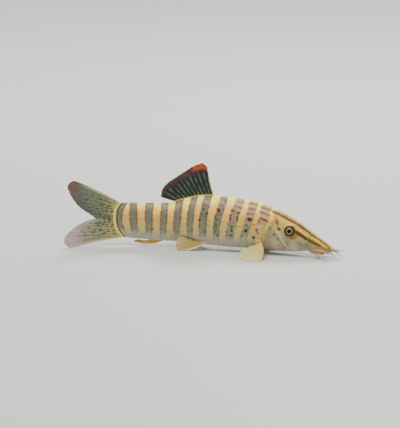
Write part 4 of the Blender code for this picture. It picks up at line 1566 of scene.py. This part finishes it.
    def paint(self, sheet: Sheet, points: Array, crease: Array) -> None:
        """Store what the finish reads.

        Args:
            sheet: The sheet of the skin.
            points: Its points in the straight fish.
            crease: How deep each lies in a crease, gill opening or mouth slot, painted as shade.
        """
        marks, folded = self.markings, self.markings.folded(points)
        x, y, z = points[..., 0], points[..., 1], points[..., 2]
        height = (z - self.body.belly(x)) / np.maximum(self.body.back(x) - self.body.belly(x), 0.5)
        mouth = np.linalg.norm((folded - self.mouth_middle) * self.mouth_stretch, axis=-1)
        below = 1.0 - ramp(z - Line(self.snout_top)(x), -1.5, 0.0)
        hollow = self.socket_radius - self.eye_radius(folded)
        end = marks.inside_end(points, *marks.end_line)
        spot, spot_strength = marks.inside_spots(folded, marks.spots)
        rust, rust_strength = marks.inside_spots(folded, marks.rusty)
        blush = marks.inside_lines(folded, marks.blushes)
        painted = {
            "straight": points,
            "scales": np.stack([x, self.girth(points), 0.0 * x], axis=-1),
            "height": np.clip(height, 0.0, 1.0),
            "head": ramp(x - self.body.gill(z), -1.5, 3.5),
            "front": ramp(x, 6.0, 30.0),
            "bar": marks.inside_bars(folded),
            "bar_strength": marks.bar_strength(folded),
            "sheen": marks.sheen(folded),
            "spot": spot,
            "spot_strength": spot_strength,
            "rust": np.maximum(rust, blush),
            "rust_strength": np.where(blush > rust, 0.9, rust_strength),
            "dash": marks.inside_lines(folded, marks.dashes),
            "streak": np.maximum(marks.inside_lines(folded, marks.streaks), end),
            "stripe": marks.inside_lines(folded, marks.stripes),
            "band": marks.inside_lines(folded, marks.bands),
            "band_strength": 0.6 + 0.4 * ramp(x, 47.0, 52.0),
            # Pale lines, with painted highlights among them.
            "pale": np.maximum(marks.inside_lines(folded, marks.pales_and_highlights), marks.inside_crown(points)),
            "socket": hollow + 0.5 * ramp(x - self.eyes.x, 0.0, 3.0),
            "snout": 0.85 * hump(mouth, 6.0) * below,
            # Painted shade in creases, pits, gill openings and the mouth's slot.
            "crease": np.clip(0.9 * crease, 0.0, 1.0),
        }
        for label, values in painted.items():
            sheet.paint(label, values)


def nowhere(across: Array, out: Array) -> Array:
    """Share of a colour that a fin doesn't have."""
    return np.zeros_like(out)


@dataclass
class FinPlan:
    """Shape of one fin, in millimetres.

    base and margin give the points across it, from its leading ray at 0 to its last at 1, and
    bow moves the middle of each ray. The web starts inside its base by the share root. The
    margin sinks between rays by the share notch, and the membrane waves by ripple. A ray parts
    in two and then in four from the shares in split on, and ray_width is its breadth at its
    foot and its end, in spaces between rays. tip, rim and lead give where those colours lie,
    blotch_rows the rows of dark marks, and floor_clear the least height. lead is a pale
    leading edge, but on the pectoral fins a painted glint of light.
    """

    node: str
    base: Across
    margin: Across
    bow: Across
    rays: int
    finish: FinFinish
    tip: Spread
    rim: Spread = nowhere
    lead_and_glint: Spread = nowhere
    rows: int = 80
    per_ray: int = 16
    root: float = 0.05
    notch: float = 0.012
    ripple: float = 0.25
    ray_thick: float = 0.7
    web_thick: float = 0.16
    ray_width: Pair = (0.13, 0.07)
    split: Pair = (0.38, 0.7)
    seed: int = 1
    blotch_rows: tuple[float, ...] = ()
    blotch_size: float = 0.5
    floor_clear: float = 0.22


@dataclass
class Fins:
    """All the fins, each a web over branching rays.

    unbranched is the count of leading rays that don't part.
    """

    body: Body
    backbone: Backbone
    unbranched: int = 1
    pelvic_gap: float = 0.6 + GAP

    @staticmethod
    def even_bow(start: Triple, change: Triple = (0.0, 0.0, 0.0)) -> Across:
        """Bow that goes evenly from the leading ray to the last.

        Args:
            start: Bow of the leading ray.
            change: How far the last ray's is from it.

        Returns:
            The bow of each ray, by its place across the fin.
        """
        def bow(across: Array) -> Array:
            """Bow of each ray."""
            return np.array(start) + np.array(change) * across[..., None]
        return bow

    @staticmethod
    def ridge_base(ridge: Line, front: float, rear: float, gap: float) -> Across:
        """Base along the back or the belly, from the leading ray to the last.

        Args:
            ridge: Line of the back or the belly.
            front: Station of the leading ray.
            rear: Station of the last.
            gap: Gap to the skin, below 0 under the belly.

        Returns:
            The foot of each ray, by its place across the fin.
        """
        def base(across: Array) -> Array:
            """Foot of each ray."""
            x = front + (rear - front) * across
            return np.stack([x, 0 * x, ridge(x) + gap], axis=-1)
        return base

    def end_base(self, first: float, last: float) -> Across:
        """Base along the end of the flesh, from one height to another.

        Args:
            first: Height of the first ray.
            last: Height of the last.

        Returns:
            The foot of each ray, by its place across the fin.
        """
        def base(across: Array) -> Array:
            """Foot of each ray."""
            z = first + (last - first) * across
            return np.stack([self.body.flesh_end(z) - GAP, 0 * z, z], axis=-1)
        return base

    def flank_base(self, side: Side, start: Row, change: Row, gap: float) -> Across:
        """Base on one flank, from the leading ray to the last.

        Args:
            side: Side of the fish.
            start: Station and height of the leading ray.
            change: How far the last ray's are from them.
            gap: Gap to the skin.

        Returns:
            The foot of each ray, by its place across the fin.
        """
        def base(across: Array) -> Array:
            """Foot of each ray."""
            x, z = start[0] + change[0] * across, start[1] + change[1] * across
            return np.stack([x, side.value * (self.body.flank(x, z) + gap), z], axis=-1)
        return base

    @staticmethod
    def mirrored(side: Side, rows: Rows) -> Path:
        """Margin of a paired fin, which is its mirror image on the right side."""
        return Path([(at, x, side.value * y, z) for at, x, y, z in rows])

    def dorsal(self) -> FinPlan:
        """Tall front rays that shorten toward the rear and lean back in a fan.

        Returns:
            The plan of the fin.
        """
        def tip(across: Array, out: Array) -> Array:
            """Rusty tips of the front rays."""
            return ramp(out, 0.74, 0.9) * (1.0 - ramp(across, 0.12, 0.42))

        def rim(across: Array, out: Array) -> Array:
            """Brown margin, which weakens toward the rear."""
            return ramp(out, 0.64, 0.92) * (0.78 - 0.15 * across)

        def lead_and_glint(across: Array, out: Array) -> Array:
            """Pale lower part of the leading ray."""
            return 0.6 * (1.0 - ramp(across, 0.012, 0.04)) * (1.0 - ramp(out, 0.4, 0.75))

        margin = Path((
            (0.0, 0.8, 0.0, 58.8), (0.07, -2.4, 0.0, 61.2), (0.2, -7.9, 0.0, 59.4),
            (0.4, -14.8, 0.0, 55.0), (0.6, -21.6, 0.0, 50.2), (0.8, -28.4, 0.0, 45.1),
            (0.92, -31.6, 0.0, 40.4), (1.0, -32.4, 0.0, 35.6),
        ))
        finish = FinFinish(
            "dorsal_web", near=tone(30, 34, 19), web=tone(22, 30, 25), far=tone(28, 30, 28),
            ray_near=tone(148, 152, 104), ray=tone(108, 121, 101), ray_far=tone(49, 53, 48),
            root=tone(217, 196, 104), tip=tone(178, 68, 18), rim=tone(96, 46, 36),
            cover=(0.97, 0.93), root_width=0.6, patchy=0.8,
        )
        base = self.ridge_base(self.body.back, 5.6, -22.0, GAP)
        return FinPlan("dorsal_fin", base, margin, self.even_bow((-0.5, 0.0, 0.0)), 12, finish,
                       tip, rim, lead_and_glint, rows=90, seed=3, split=(0.3, 0.75), ray_width=(0.1, 0.06))

    def caudal(self) -> list[FinPlan]:
        """Upper and lower lobes of the tail fin, which meet at the fork.

        Returns:
            The plans of both lobes.
        """
        def upper_tip(across: Array, out: Array) -> Array:
            """Brown tip of the upper lobe."""
            return 0.62 * ramp(out, 0.55, 1.0) * (1 - ramp(across, 0.1, 0.55))

        def lower_tip(across: Array, out: Array) -> Array:
            """Pink tip of the lower lobe."""
            return 0.85 * ramp(out, 0.55, 0.95) * ramp(across, 0.2, 0.7)

        def upper_lead(across: Array, out: Array) -> Array:
            """Pale edge along the top of the upper lobe."""
            return (1.0 - ramp(across, 0.015, 0.07)) * (1.0 - ramp(out, 0.45, 0.95))

        def lower_lead(across: Array, out: Array) -> Array:
            """Pale edge along the foot of the lower lobe."""
            return ramp(across, 0.93, 0.985) * (1.0 - ramp(out, 0.45, 0.95))

        upper = Path((
            (0.0, -93.4, 0.0, 47.8), (0.05, -96.8, 0.0, 46.6), (0.12, -98.2, 0.0, 43.4),
            (0.22, -96.8, 0.0, 39.0), (0.38, -94.2, 0.0, 34.2), (0.56, -90.1, 0.0, 28.9),
            (0.75, -85.4, 0.0, 25.2), (0.9, -80.9, 0.0, 22.0), (1.0, -78.4, 0.0, 20.0),
        ))
        lower = Path((
            (0.0, -78.4, 0.0, 20.0), (0.12, -83.0, 0.0, 19.1), (0.3, -88.2, 0.0, 17.2),
            (0.5, -94.4, 0.0, 13.5), (0.7, -98.9, 0.0, 9.8), (0.85, -101.0, 0.0, 6.0),
            (0.94, -100.3, 0.0, 2.0), (1.0, -96.5, 0.0, -0.5),
        ))
        upper_finish = FinFinish(
            "upper_tail_web", near=tone(148, 144, 78), web=tone(101, 111, 82), far=tone(72, 72, 66),
            ray_near=tone(177, 169, 101), ray=tone(120, 125, 93), ray_far=tone(87, 86, 78),
            root=tone(228, 205, 124), tip=tone(116, 68, 55), cover=(0.95, 0.82),
        )
        lower_finish = FinFinish(
            "lower_tail_web", near=tone(158, 148, 82), web=tone(131, 131, 99),
            far=tone(169, 156, 146), ray_near=tone(186, 173, 101), ray=tone(158, 152, 116),
            ray_far=tone(182, 167, 158), root=tone(228, 205, 124), tip=tone(196, 165, 167),
            cover=(0.95, 0.82),
        )
        rows = (0.12, 0.24, 0.36, 0.49, 0.62, 0.75)
        return [
            FinPlan("caudal_fin_upper", self.end_base(30.8, 19.1), upper,
                    self.even_bow((0.0, 0.0, 0.9), (0.0, 0.0, -0.9)), 9, upper_finish, upper_tip,
                    lead_and_glint=upper_lead, rows=110, seed=5, blotch_rows=rows, root=0.06),
            FinPlan("caudal_fin_lower", self.end_base(19.1, 6.2), lower,
                    self.even_bow((0.0, 0.0, 0.0), (0.0, 0.0, 0.3)), 9, lower_finish, lower_tip,
                    lead_and_glint=lower_lead, rows=110, seed=8, blotch_rows=rows, root=0.06),
        ]

    def anal(self) -> FinPlan:
        """Short fin folded back under the tail.

        Returns:
            The plan of the fin.
        """
        def tip(across: Array, out: Array) -> Array:
            """Darker end of every ray."""
            return 0.6 * ramp(out, 0.8, 1.0)

        base = self.ridge_base(self.body.belly, -31.0, -40.5, -GAP)
        margin = Path((
            (0.0, -49.6, 0.0, 2.8), (0.2, -51.8, 0.0, 3.3), (0.6, -50.6, 0.0, 4.3),
            (1.0, -48.2, 0.0, 4.8),
        ))
        finish = FinFinish(
            "anal_web", near=tone(203, 154, 48), web=tone(198, 156, 55), far=tone(167, 141, 65),
            ray_near=tone(224, 186, 95), ray=tone(218, 184, 95), ray_far=tone(196, 169, 99),
            root=tone(196, 158, 86), tip=tone(129, 106, 49), cover=(0.95, 0.86),
        )
        return FinPlan("anal_fin", base, margin, self.even_bow((0.0, 0.0, -1.8), (0.0, 0.0, 1.2)),
                       6, finish, tip, rows=50, per_ray=10, seed=11, ripple=0.0, notch=0.02,
                       floor_clear=0.3)

    def pectoral(self, side: Side) -> FinPlan:
        """Fan that spreads out from behind the gill cover and rests on the floor.

        Args:
            side: Side of the fish.

        Returns:
            The plan of the fin.
        """
        def tip(across: Array, out: Array) -> Array:
            """Orange front part, strongest at its foot."""
            return (1 - ramp(across, 0.16, 0.46)) * (1 - 0.6 * out)

        def lead_and_glint(across: Array, out: Array) -> Array:
            """Painted glint of light at the foot of the rear rays."""
            return hump(np.hypot(across - 0.8, 2.0 * (out - 0.07)), 0.16)

        margin = self.mirrored(side, (
            (0.0, 47.6, 21.0, 1.6), (0.1, 47.0, 25.0, -0.3), (0.22, 44.6, 27.8, -0.6),
            (0.34, 41.2, 28.8, -0.6), (0.55, 35.4, 26.6, -0.6), (0.74, 30.5, 23.0, -0.5),
            (0.9, 27.0, 18.6, 0.6), (1.0, 27.2, 14.8, 2.2),
        ))
        finish = FinFinish(
            "pectoral_web", near=tone(203, 180, 91), web=tone(179, 179, 95),
            far=tone(182, 186, 116), ray_near=tone(228, 198, 110), ray=tone(224, 218, 148),
            ray_far=tone(220, 218, 162), root=tone(192, 146, 74), tip=tone(224, 178, 84),
            # lead here is the colour of the painted glint at the foot of the rear rays.
            lead_and_glint=tone(244, 238, 206), cover=(0.92, 0.8),
        )
        base = self.flank_base(side, (42.4, 10.0), (-3.8, -3.2), GAP)
        return FinPlan(f"pectoral_fin_{side.tag}", base, margin, self.even_bow((0.8, 0.0, 1.2)),
                       11, finish, tip, lead_and_glint=lead_and_glint, rows=80, seed=13, root=0.07)

    def pelvic(self, side: Side) -> FinPlan:
        """Fan beside the belly that props on the floor by its leading ray.

        Args:
            side: Side of the fish.

        Returns:
            The plan of the fin.
        """
        def tip(across: Array, out: Array) -> Array:
            """Pale leading ray."""
            return 0.9 * (1.0 - ramp(across, 0.05, 0.18))

        margin = self.mirrored(side, (
            (0.0, -14.0, 9.6, -0.7), (0.14, -17.4, 10.0, 0.2), (0.4, -19.4, 9.8, 3.4),
            (0.7, -19.0, 9.0, 7.2), (0.9, -17.4, 8.4, 9.6), (1.0, -15.6, 8.0, 9.5),
        ))
        finish = FinFinish(
            "pelvic_web", near=tone(177, 152, 72), web=tone(160, 139, 63), far=tone(177, 152, 87),
            ray_near=tone(211, 190, 114), ray=tone(198, 177, 99), ray_far=tone(196, 175, 110),
            root=tone(196, 169, 106), tip=tone(232, 217, 152), cover=(0.95, 0.88),
        )
        base = self.flank_base(side, (1.6, 5.6), (-4.8, 0.6), self.pelvic_gap)
        bow = self.even_bow((0.0, 0.6 * side.value, -0.6), (0.0, 0.0, 0.8))
        return FinPlan(f"pelvic_fin_{side.tag}", base, margin, bow, 8, finish, tip,
                       rows=64, seed=17, root=0.12)

    def rays(self, plan: FinPlan, across: Array, out: Array) -> Array:
        """Height of the rays at every point, from 0 on the web to 1 on a crest.

        Args:
            plan: The fin.
            across: Place across it, from 0 to 1.
            out: Place along the rays, from 0 to 1.

        Returns:
            The share of a full ray.
        """
        place = across * (plan.rays - 1)
        ray = np.rint(place)
        parts = ray >= self.unbranched
        first = 0.2 * ramp(out, plan.split[0], 1.05) * parts
        second = 0.1 * ramp(out, plan.split[1], 1.1) * parts
        width = plan.ray_width[0] + (plan.ray_width[1] - plan.ray_width[0]) * out + 0.04 * ~parts
        crest = np.zeros_like(place)
        for one in (-1.0, 1.0):
            for two in (-1.0, 1.0):
                branch = one * first + two * second
                crest = np.maximum(crest, np.exp(-((place - ray - branch) / width) ** 2))
        return crest

    def blotches(self, plan: FinPlan, points: Array) -> Array:
        """How far each point lies inside the nearest dark mark, drawn out along the rays.

        Args:
            plan: The fin.
            points: Its points.

        Returns:
            The distance inside, which is below 0 outside.
        """
        inside = np.full(points.shape[:-1], OUTSIDE)
        draw = np.random.default_rng(plan.seed)
        for row in plan.blotch_rows:
            for ray in range(plan.rays + 1):
                at = np.array([np.clip((ray + 0.9 * draw.random() - 0.45) / plan.rays, 0.0, 1.0)])
                out = row + 0.09 * (draw.random() - 0.5)
                size = plan.blotch_size * (0.5 + draw.random()) * (1.3 - 0.7 * row)
                base, margin = plan.base(at)[0], plan.margin(at)[0]
                centre = base + (margin - base) * out + plan.bow(at)[0] * 4 * out * (1 - out)
                way = (margin - base) / np.linalg.norm(margin - base)
                off = points - centre
                along = off @ way
                beside = np.sqrt(np.maximum(np.sum(off ** 2, axis=-1) - along ** 2, 0.0))
                inside = np.maximum(inside, size - np.hypot(along / (1.4 + draw.random()), beside))
        return inside

    def build_one(self, plan: FinPlan) -> bpy.types.Object:
        """Shape, paint and dress one fin.

        Args:
            plan: The fin.

        Returns:
            Its web with the rays.
        """
        columns = plan.per_ray * (plan.rays - 1)
        across, out = np.meshgrid(np.linspace(0, 1, columns + 1),
                                  np.linspace(-plan.root, 1.0, plan.rows + 1), indexing="ij")
        outer = np.clip(out, 0.0, 1.0)
        place = across * (plan.rays - 1)
        between = np.abs(place - np.rint(place)) * 2.0
        far = out * (1.0 - plan.notch * between ** 2 * ramp(out, 0.0, 1.0))
        base, margin = plan.base(across), plan.margin(across)
        arch = 4 * np.clip(far, 0, 1) * (1 - np.clip(far, 0, 1))
        points = base + (margin - base) * far[..., None] + plan.bow(across) * arch[..., None]
        facing = np.cross(np.gradient(points, axis=0), np.gradient(points, axis=1))
        facing /= np.maximum(np.linalg.norm(facing, axis=-1, keepdims=True), 1e-9)
        wave = np.sin(place * 2.4 + plan.seed) * np.sin(2.5 * out + plan.seed)
        wave = wave * ramp(out, 0.1, 0.9) * np.sqrt(np.sin(np.pi * across).clip(0.0))
        points = points + facing * (plan.ripple * wave)[..., None]
        points[..., 2] = np.maximum(points[..., 2], plan.floor_clear)
        crest = self.rays(plan, across, outer)

        sheet = Sheet(plan.node + "_web", columns, plan.rows)
        sheet.lay(self.backbone.bend(points))
        painted = {
            "straight": points, "out": outer, "ray": crest,
            "run": out * np.linalg.norm(margin - base, axis=-1),
            "blotch": self.blotches(plan, points),
            "tip": plan.tip(across, outer), "rim": plan.rim(across, outer),
            "lead_and_glint": plan.lead_and_glint(across, outer),
        }
        for label, values in painted.items():
            sheet.paint(label, values)
        web = sheet.finish(closed=False)
        group = web.vertex_groups.new(name="rays")
        thick = np.maximum(crest * (1.0 - 0.6 * out), 0.8 * (1.0 - ramp(out, -0.02, 0.12)))
        for index, share in enumerate(thick[sheet.place]):
            group.add([index], float(np.clip(share, 0.0, 1.0)), "REPLACE")
        solidify = web.modifiers.new("thickness", "SOLIDIFY")
        solidify.thickness = plan.ray_thick * MM
        solidify.offset = 0.0
        solidify.vertex_group = group.name
        solidify.thickness_vertex_group = plan.web_thick / plan.ray_thick
        settle(web, plan.finish.make(), "fin", plan.node)
        return web

    def build(self) -> list[bpy.types.Object]:
        """Build every fin."""
        paired = [plan(side) for side in Side for plan in (self.pectoral, self.pelvic)]
        return [self.build_one(plan) for plan in (self.dorsal(), *self.caudal(), self.anal(), *paired)]


@dataclass
class Eyes:
    """Both eyeballs, each with a raised pupil, whose reach and height are in lens."""

    body: Body
    backbone: Backbone
    seat: EyeSeat
    segments: int = 72
    rows: int = 48
    lens: Pair = (1.45, 0.16)
    ring_dip: Row = (1.9, 0.9, -0.1)

    def build(self) -> list[bpy.types.Object]:
        """Build both eyes."""
        finish = EyeFinish().make()
        return [self.build_one(side, finish) for side in Side]

    def build_one(self, side: Side, finish: bpy.types.Material) -> bpy.types.Object:
        """Turn a disc's outline into a flattened ball with its pole at the pupil.

        Args:
            side: Side of the fish.
            finish: Material of the eye.

        Returns:
            The eyeball.
        """
        turn, rise = np.meshgrid(np.linspace(0, 2 * np.pi, self.segments + 1),
                                 np.linspace(0, np.pi, self.rows + 1), indexing="ij")
        radius = self.seat.radius * np.sin(rise)
        front = rise < np.pi / 2
        reach, height = self.lens
        bulge = height * (1.0 - ramp(radius, 0.0, reach)) + crests(radius, self.ring_dip)
        out = self.seat.half_depth * np.cos(rise) + bulge * front
        forward, outward, upward = self.seat.axes(self.body, side)
        parts = (radius * np.cos(turn), out, radius * np.sin(turn))
        points = self.seat.centre(self.body, side) + sum(
            part[..., None] * axis for part, axis in zip(parts, (forward, outward, upward)))
        sheet = Sheet(f"eye_{side.tag}_ball", self.segments, self.rows)
        sheet.lay(self.backbone.bend(points))
        sheet.paint("disc", np.stack(parts, axis=-1))
        sheet.paint("radius", np.where(front, radius, self.seat.radius))
        ball = sheet.finish(closed=True)
        settle(ball, finish, "eye", f"eye_{side.tag}")
        return ball


@dataclass
class Barbels:
    """Three pairs of feelers: two on the snout and one at the corners of the mouth.

    radii are the radius at shares of the length, and ways the points that each runs through.
    """

    body: Body
    backbone: Backbone
    radii: Rows = ((0.0, 0.9), (0.16, 0.6), (0.5, 0.45), (1.0, 0.2))
    sides: int = 18
    rows: int = 70
    ways: tuple[tuple[str, Rows], ...] = (
        ("rostral_inner_right", ((91.9, -1.0, 6.4), (93.4, -1.3, 6.2), (96.3, -2.2, 6.2),
                                 (98.5, -2.9, 5.0), (99.0, -3.2, 3.4))),
        ("rostral_inner_left", ((91.9, 1.0, 6.4), (93.4, 1.2, 6.2), (96.1, 1.8, 6.1),
                                (98.4, 2.1, 6.0), (100.3, 2.3, 5.4))),
        ("rostral_outer_right", ((90.9, -1.5, 5.9), (92.2, -2.4, 5.0), (94.4, -3.6, 4.0),
                                 (96.2, -4.3, 2.4), (97.5, -4.8, 1.1))),
        ("rostral_outer_left", ((90.9, 1.5, 5.9), (92.2, 2.4, 5.0), (94.2, 3.7, 3.9),
                                (95.8, 4.6, 2.4), (96.8, 5.4, 1.1))),
        ("maxillary_right", ((79.9, -3.9, 5.4), (81.2, -5.0, 4.3), (84.6, -6.2, 2.2),
                             (88.6, -7.3, 1.2), (93.6, -8.6, 1.1))),
        ("maxillary_left", ((79.9, 3.9, 5.4), (81.1, 5.0, 4.3), (84.2, 6.3, 2.3),
                            (87.8, 7.9, 1.2), (91.8, 9.9, 1.1))),
    )

    def build(self) -> list[bpy.types.Object]:
        """Build all the feelers."""
        finish = BarbelFinish().make()
        return [self.build_one(name, rows, finish) for name, rows in self.ways]

    def build_one(self, name: str, rows: Rows, finish: bpy.types.Material) -> bpy.types.Object:
        """Draw one feeler as a tapering tube.

        Args:
            name: Name of the feeler.
            rows: Points it runs through, the first inside the skin.
            finish: Its material.

        Returns:
            The feeler.
        """
        share = np.linspace(0.0, 1.0, self.rows + 1)
        way = path_by_length(rows)(share)
        ahead = np.gradient(way, axis=0)
        ahead /= np.linalg.norm(ahead, axis=1, keepdims=True)
        aside = np.cross(ahead, (0.0, 0.0, 1.0))
        aside /= np.linalg.norm(aside, axis=1, keepdims=True)
        above = np.cross(aside, ahead)
        radius = Line(self.radii)(share) * (1.0 + 0.02 * np.sin(share * 50.0))
        radius *= np.sqrt(1.0 - ramp(share, 0.96, 1.0))
        radius[0] = radius[-1] = 0.0
        turn = np.linspace(0.0, 2 * np.pi, self.sides + 1)[None, :, None]
        ring = np.cos(turn) * aside[:, None] + np.sin(turn) * above[:, None]
        points = way[:, None] + radius[:, None, None] * ring
        sheet = Sheet(f"barbel_{name}_feeler", self.rows, self.sides)
        sheet.lay(self.backbone.bend(points))
        sheet.paint("straight", points)
        sheet.paint("run", np.repeat(share[:, None], self.sides + 1, axis=1))
        feeler = sheet.finish(closed=True)
        settle(feeler, finish, "barbel", f"barbel_{name}")
        return feeler


@dataclass
class Studio:
    """Pale floor, soft lights and the camera.

    A lamp has its name, its kind, its place, its size, its power and its colour.
    """

    backbone: Backbone
    azimuth: float = math.radians(14.0)
    elevation: float = math.radians(13.0)
    frame_width: float = 0.280
    picture_offset: Pair = (-0.0042, 0.0244)
    distance: float = 2.0
    sensor: float = 36.0
    floor_size: float = 8.0
    floor_level: float = -0.05
    floor_tint: Tone = tone(192, 194, 192)
    floor_cloud: Tone = tone(180, 184, 184)
    lamps: tuple[tuple, ...] = (
        ("key_light", "SUN", (-0.22, -0.34, 0.95), 0.7, 3.85, (1.0, 0.98, 0.93)),
        ("fill_light", "AREA", (0.9, -0.75, 0.35), 0.7, 3.0, (1.0, 0.98, 0.95)),
        ("back_light", "AREA", (0.0, 0.7, 0.85), 0.5, 11.0, (1.0, 0.98, 0.92)),
    )
    sky: Tone = (0.9, 0.93, 0.96, 1.0)
    sky_strength: float = 0.55

    def build(self) -> None:
        """Set up everything around the fish."""
        self.lay_floor()
        self.hang_lights()
        self.place_camera()

    def lay_floor(self) -> None:
        """Plain pale floor, just under the lowest point of the fins."""
        bm = bmesh.new()
        bmesh.ops.create_grid(bm, x_segments=1, y_segments=1, size=self.floor_size / 2)
        bmesh.ops.translate(bm, verts=bm.verts, vec=(0.0, 0.0, self.floor_level * MM))
        mesh = bpy.data.meshes.new("floor")
        bm.to_mesh(mesh)
        bm.free()
        s = Shades("pale_floor", 0.6)
        place = s.add("TexCoord", {}, "Object")
        share = s.rise(s.grain(place, 0.4), 0.3, 0.7, 0.0, 0.06)
        s.set("Base Color", s.blend(share, self.floor_tint, self.floor_cloud))
        mesh.materials.append(s.material)
        floor = link_new("floor", mesh)

    def hang_lights(self) -> None:
        """A broad soft light from above, two large lamps and a pale sky."""
        for name, kind, place, size, power, color in self.lamps:
            lamp = bpy.data.lights.new(name, kind)
            lamp.energy, lamp.color = power, color
            if kind == "SUN":
                lamp.angle = size
            else:
                lamp.shape, lamp.size = "DISK", size
            holder = link_new(name, lamp)
            holder.location = place
            holder.rotation_euler = (-Vector(place)).to_track_quat("-Z", "Y").to_euler()
        world = bpy.data.worlds.new("studio")
        world.use_nodes = True
        sky = world.node_tree.nodes["Background"]
        sky.inputs["Color"].default_value = self.sky
        sky.inputs["Strength"].default_value = self.sky_strength
        bpy.context.scene.world = world

    def place_camera(self) -> None:
        """Camera at the photograph's angle, with the fish where the photograph has it."""
        turn, tilt = self.azimuth, self.elevation
        right = Vector((math.cos(turn), math.sin(turn), 0.0))
        up = Vector((-math.sin(turn) * math.sin(tilt), math.cos(turn) * math.sin(tilt), math.cos(tilt)))
        toward = right.cross(up)
        target = Vector(-self.backbone.shift) + right * self.picture_offset[0] + up * self.picture_offset[1]
        camera = bpy.data.cameras.new("camera")
        camera.sensor_fit = "HORIZONTAL"
        camera.sensor_width = self.sensor
        camera.lens = self.sensor * self.distance / self.frame_width
        holder = link_new("camera", camera)
        holder.location = target + toward * self.distance
        holder.rotation_euler = (-toward).to_track_quat("-Z", "Y").to_euler()
        bpy.context.scene.camera = holder


def main() -> None:
    """Build the fish piece by piece, then the studio."""
    logging.basicConfig(level=logging.INFO, format="%(name)s: %(message)s")
    body, eyes = Body(), EyeSeat()
    backbone = Backbone(body, eyes)
    LOG.info("shift of the straight fish: %s", backbone.shift)
    Skin(body, backbone, eyes, Markings(body)).build()
    Fins(body, backbone).build()
    Eyes(body, backbone, eyes).build()
    Barbels(body, backbone).build()
    Studio(backbone).build()


if __name__ == "__main__":
    main()
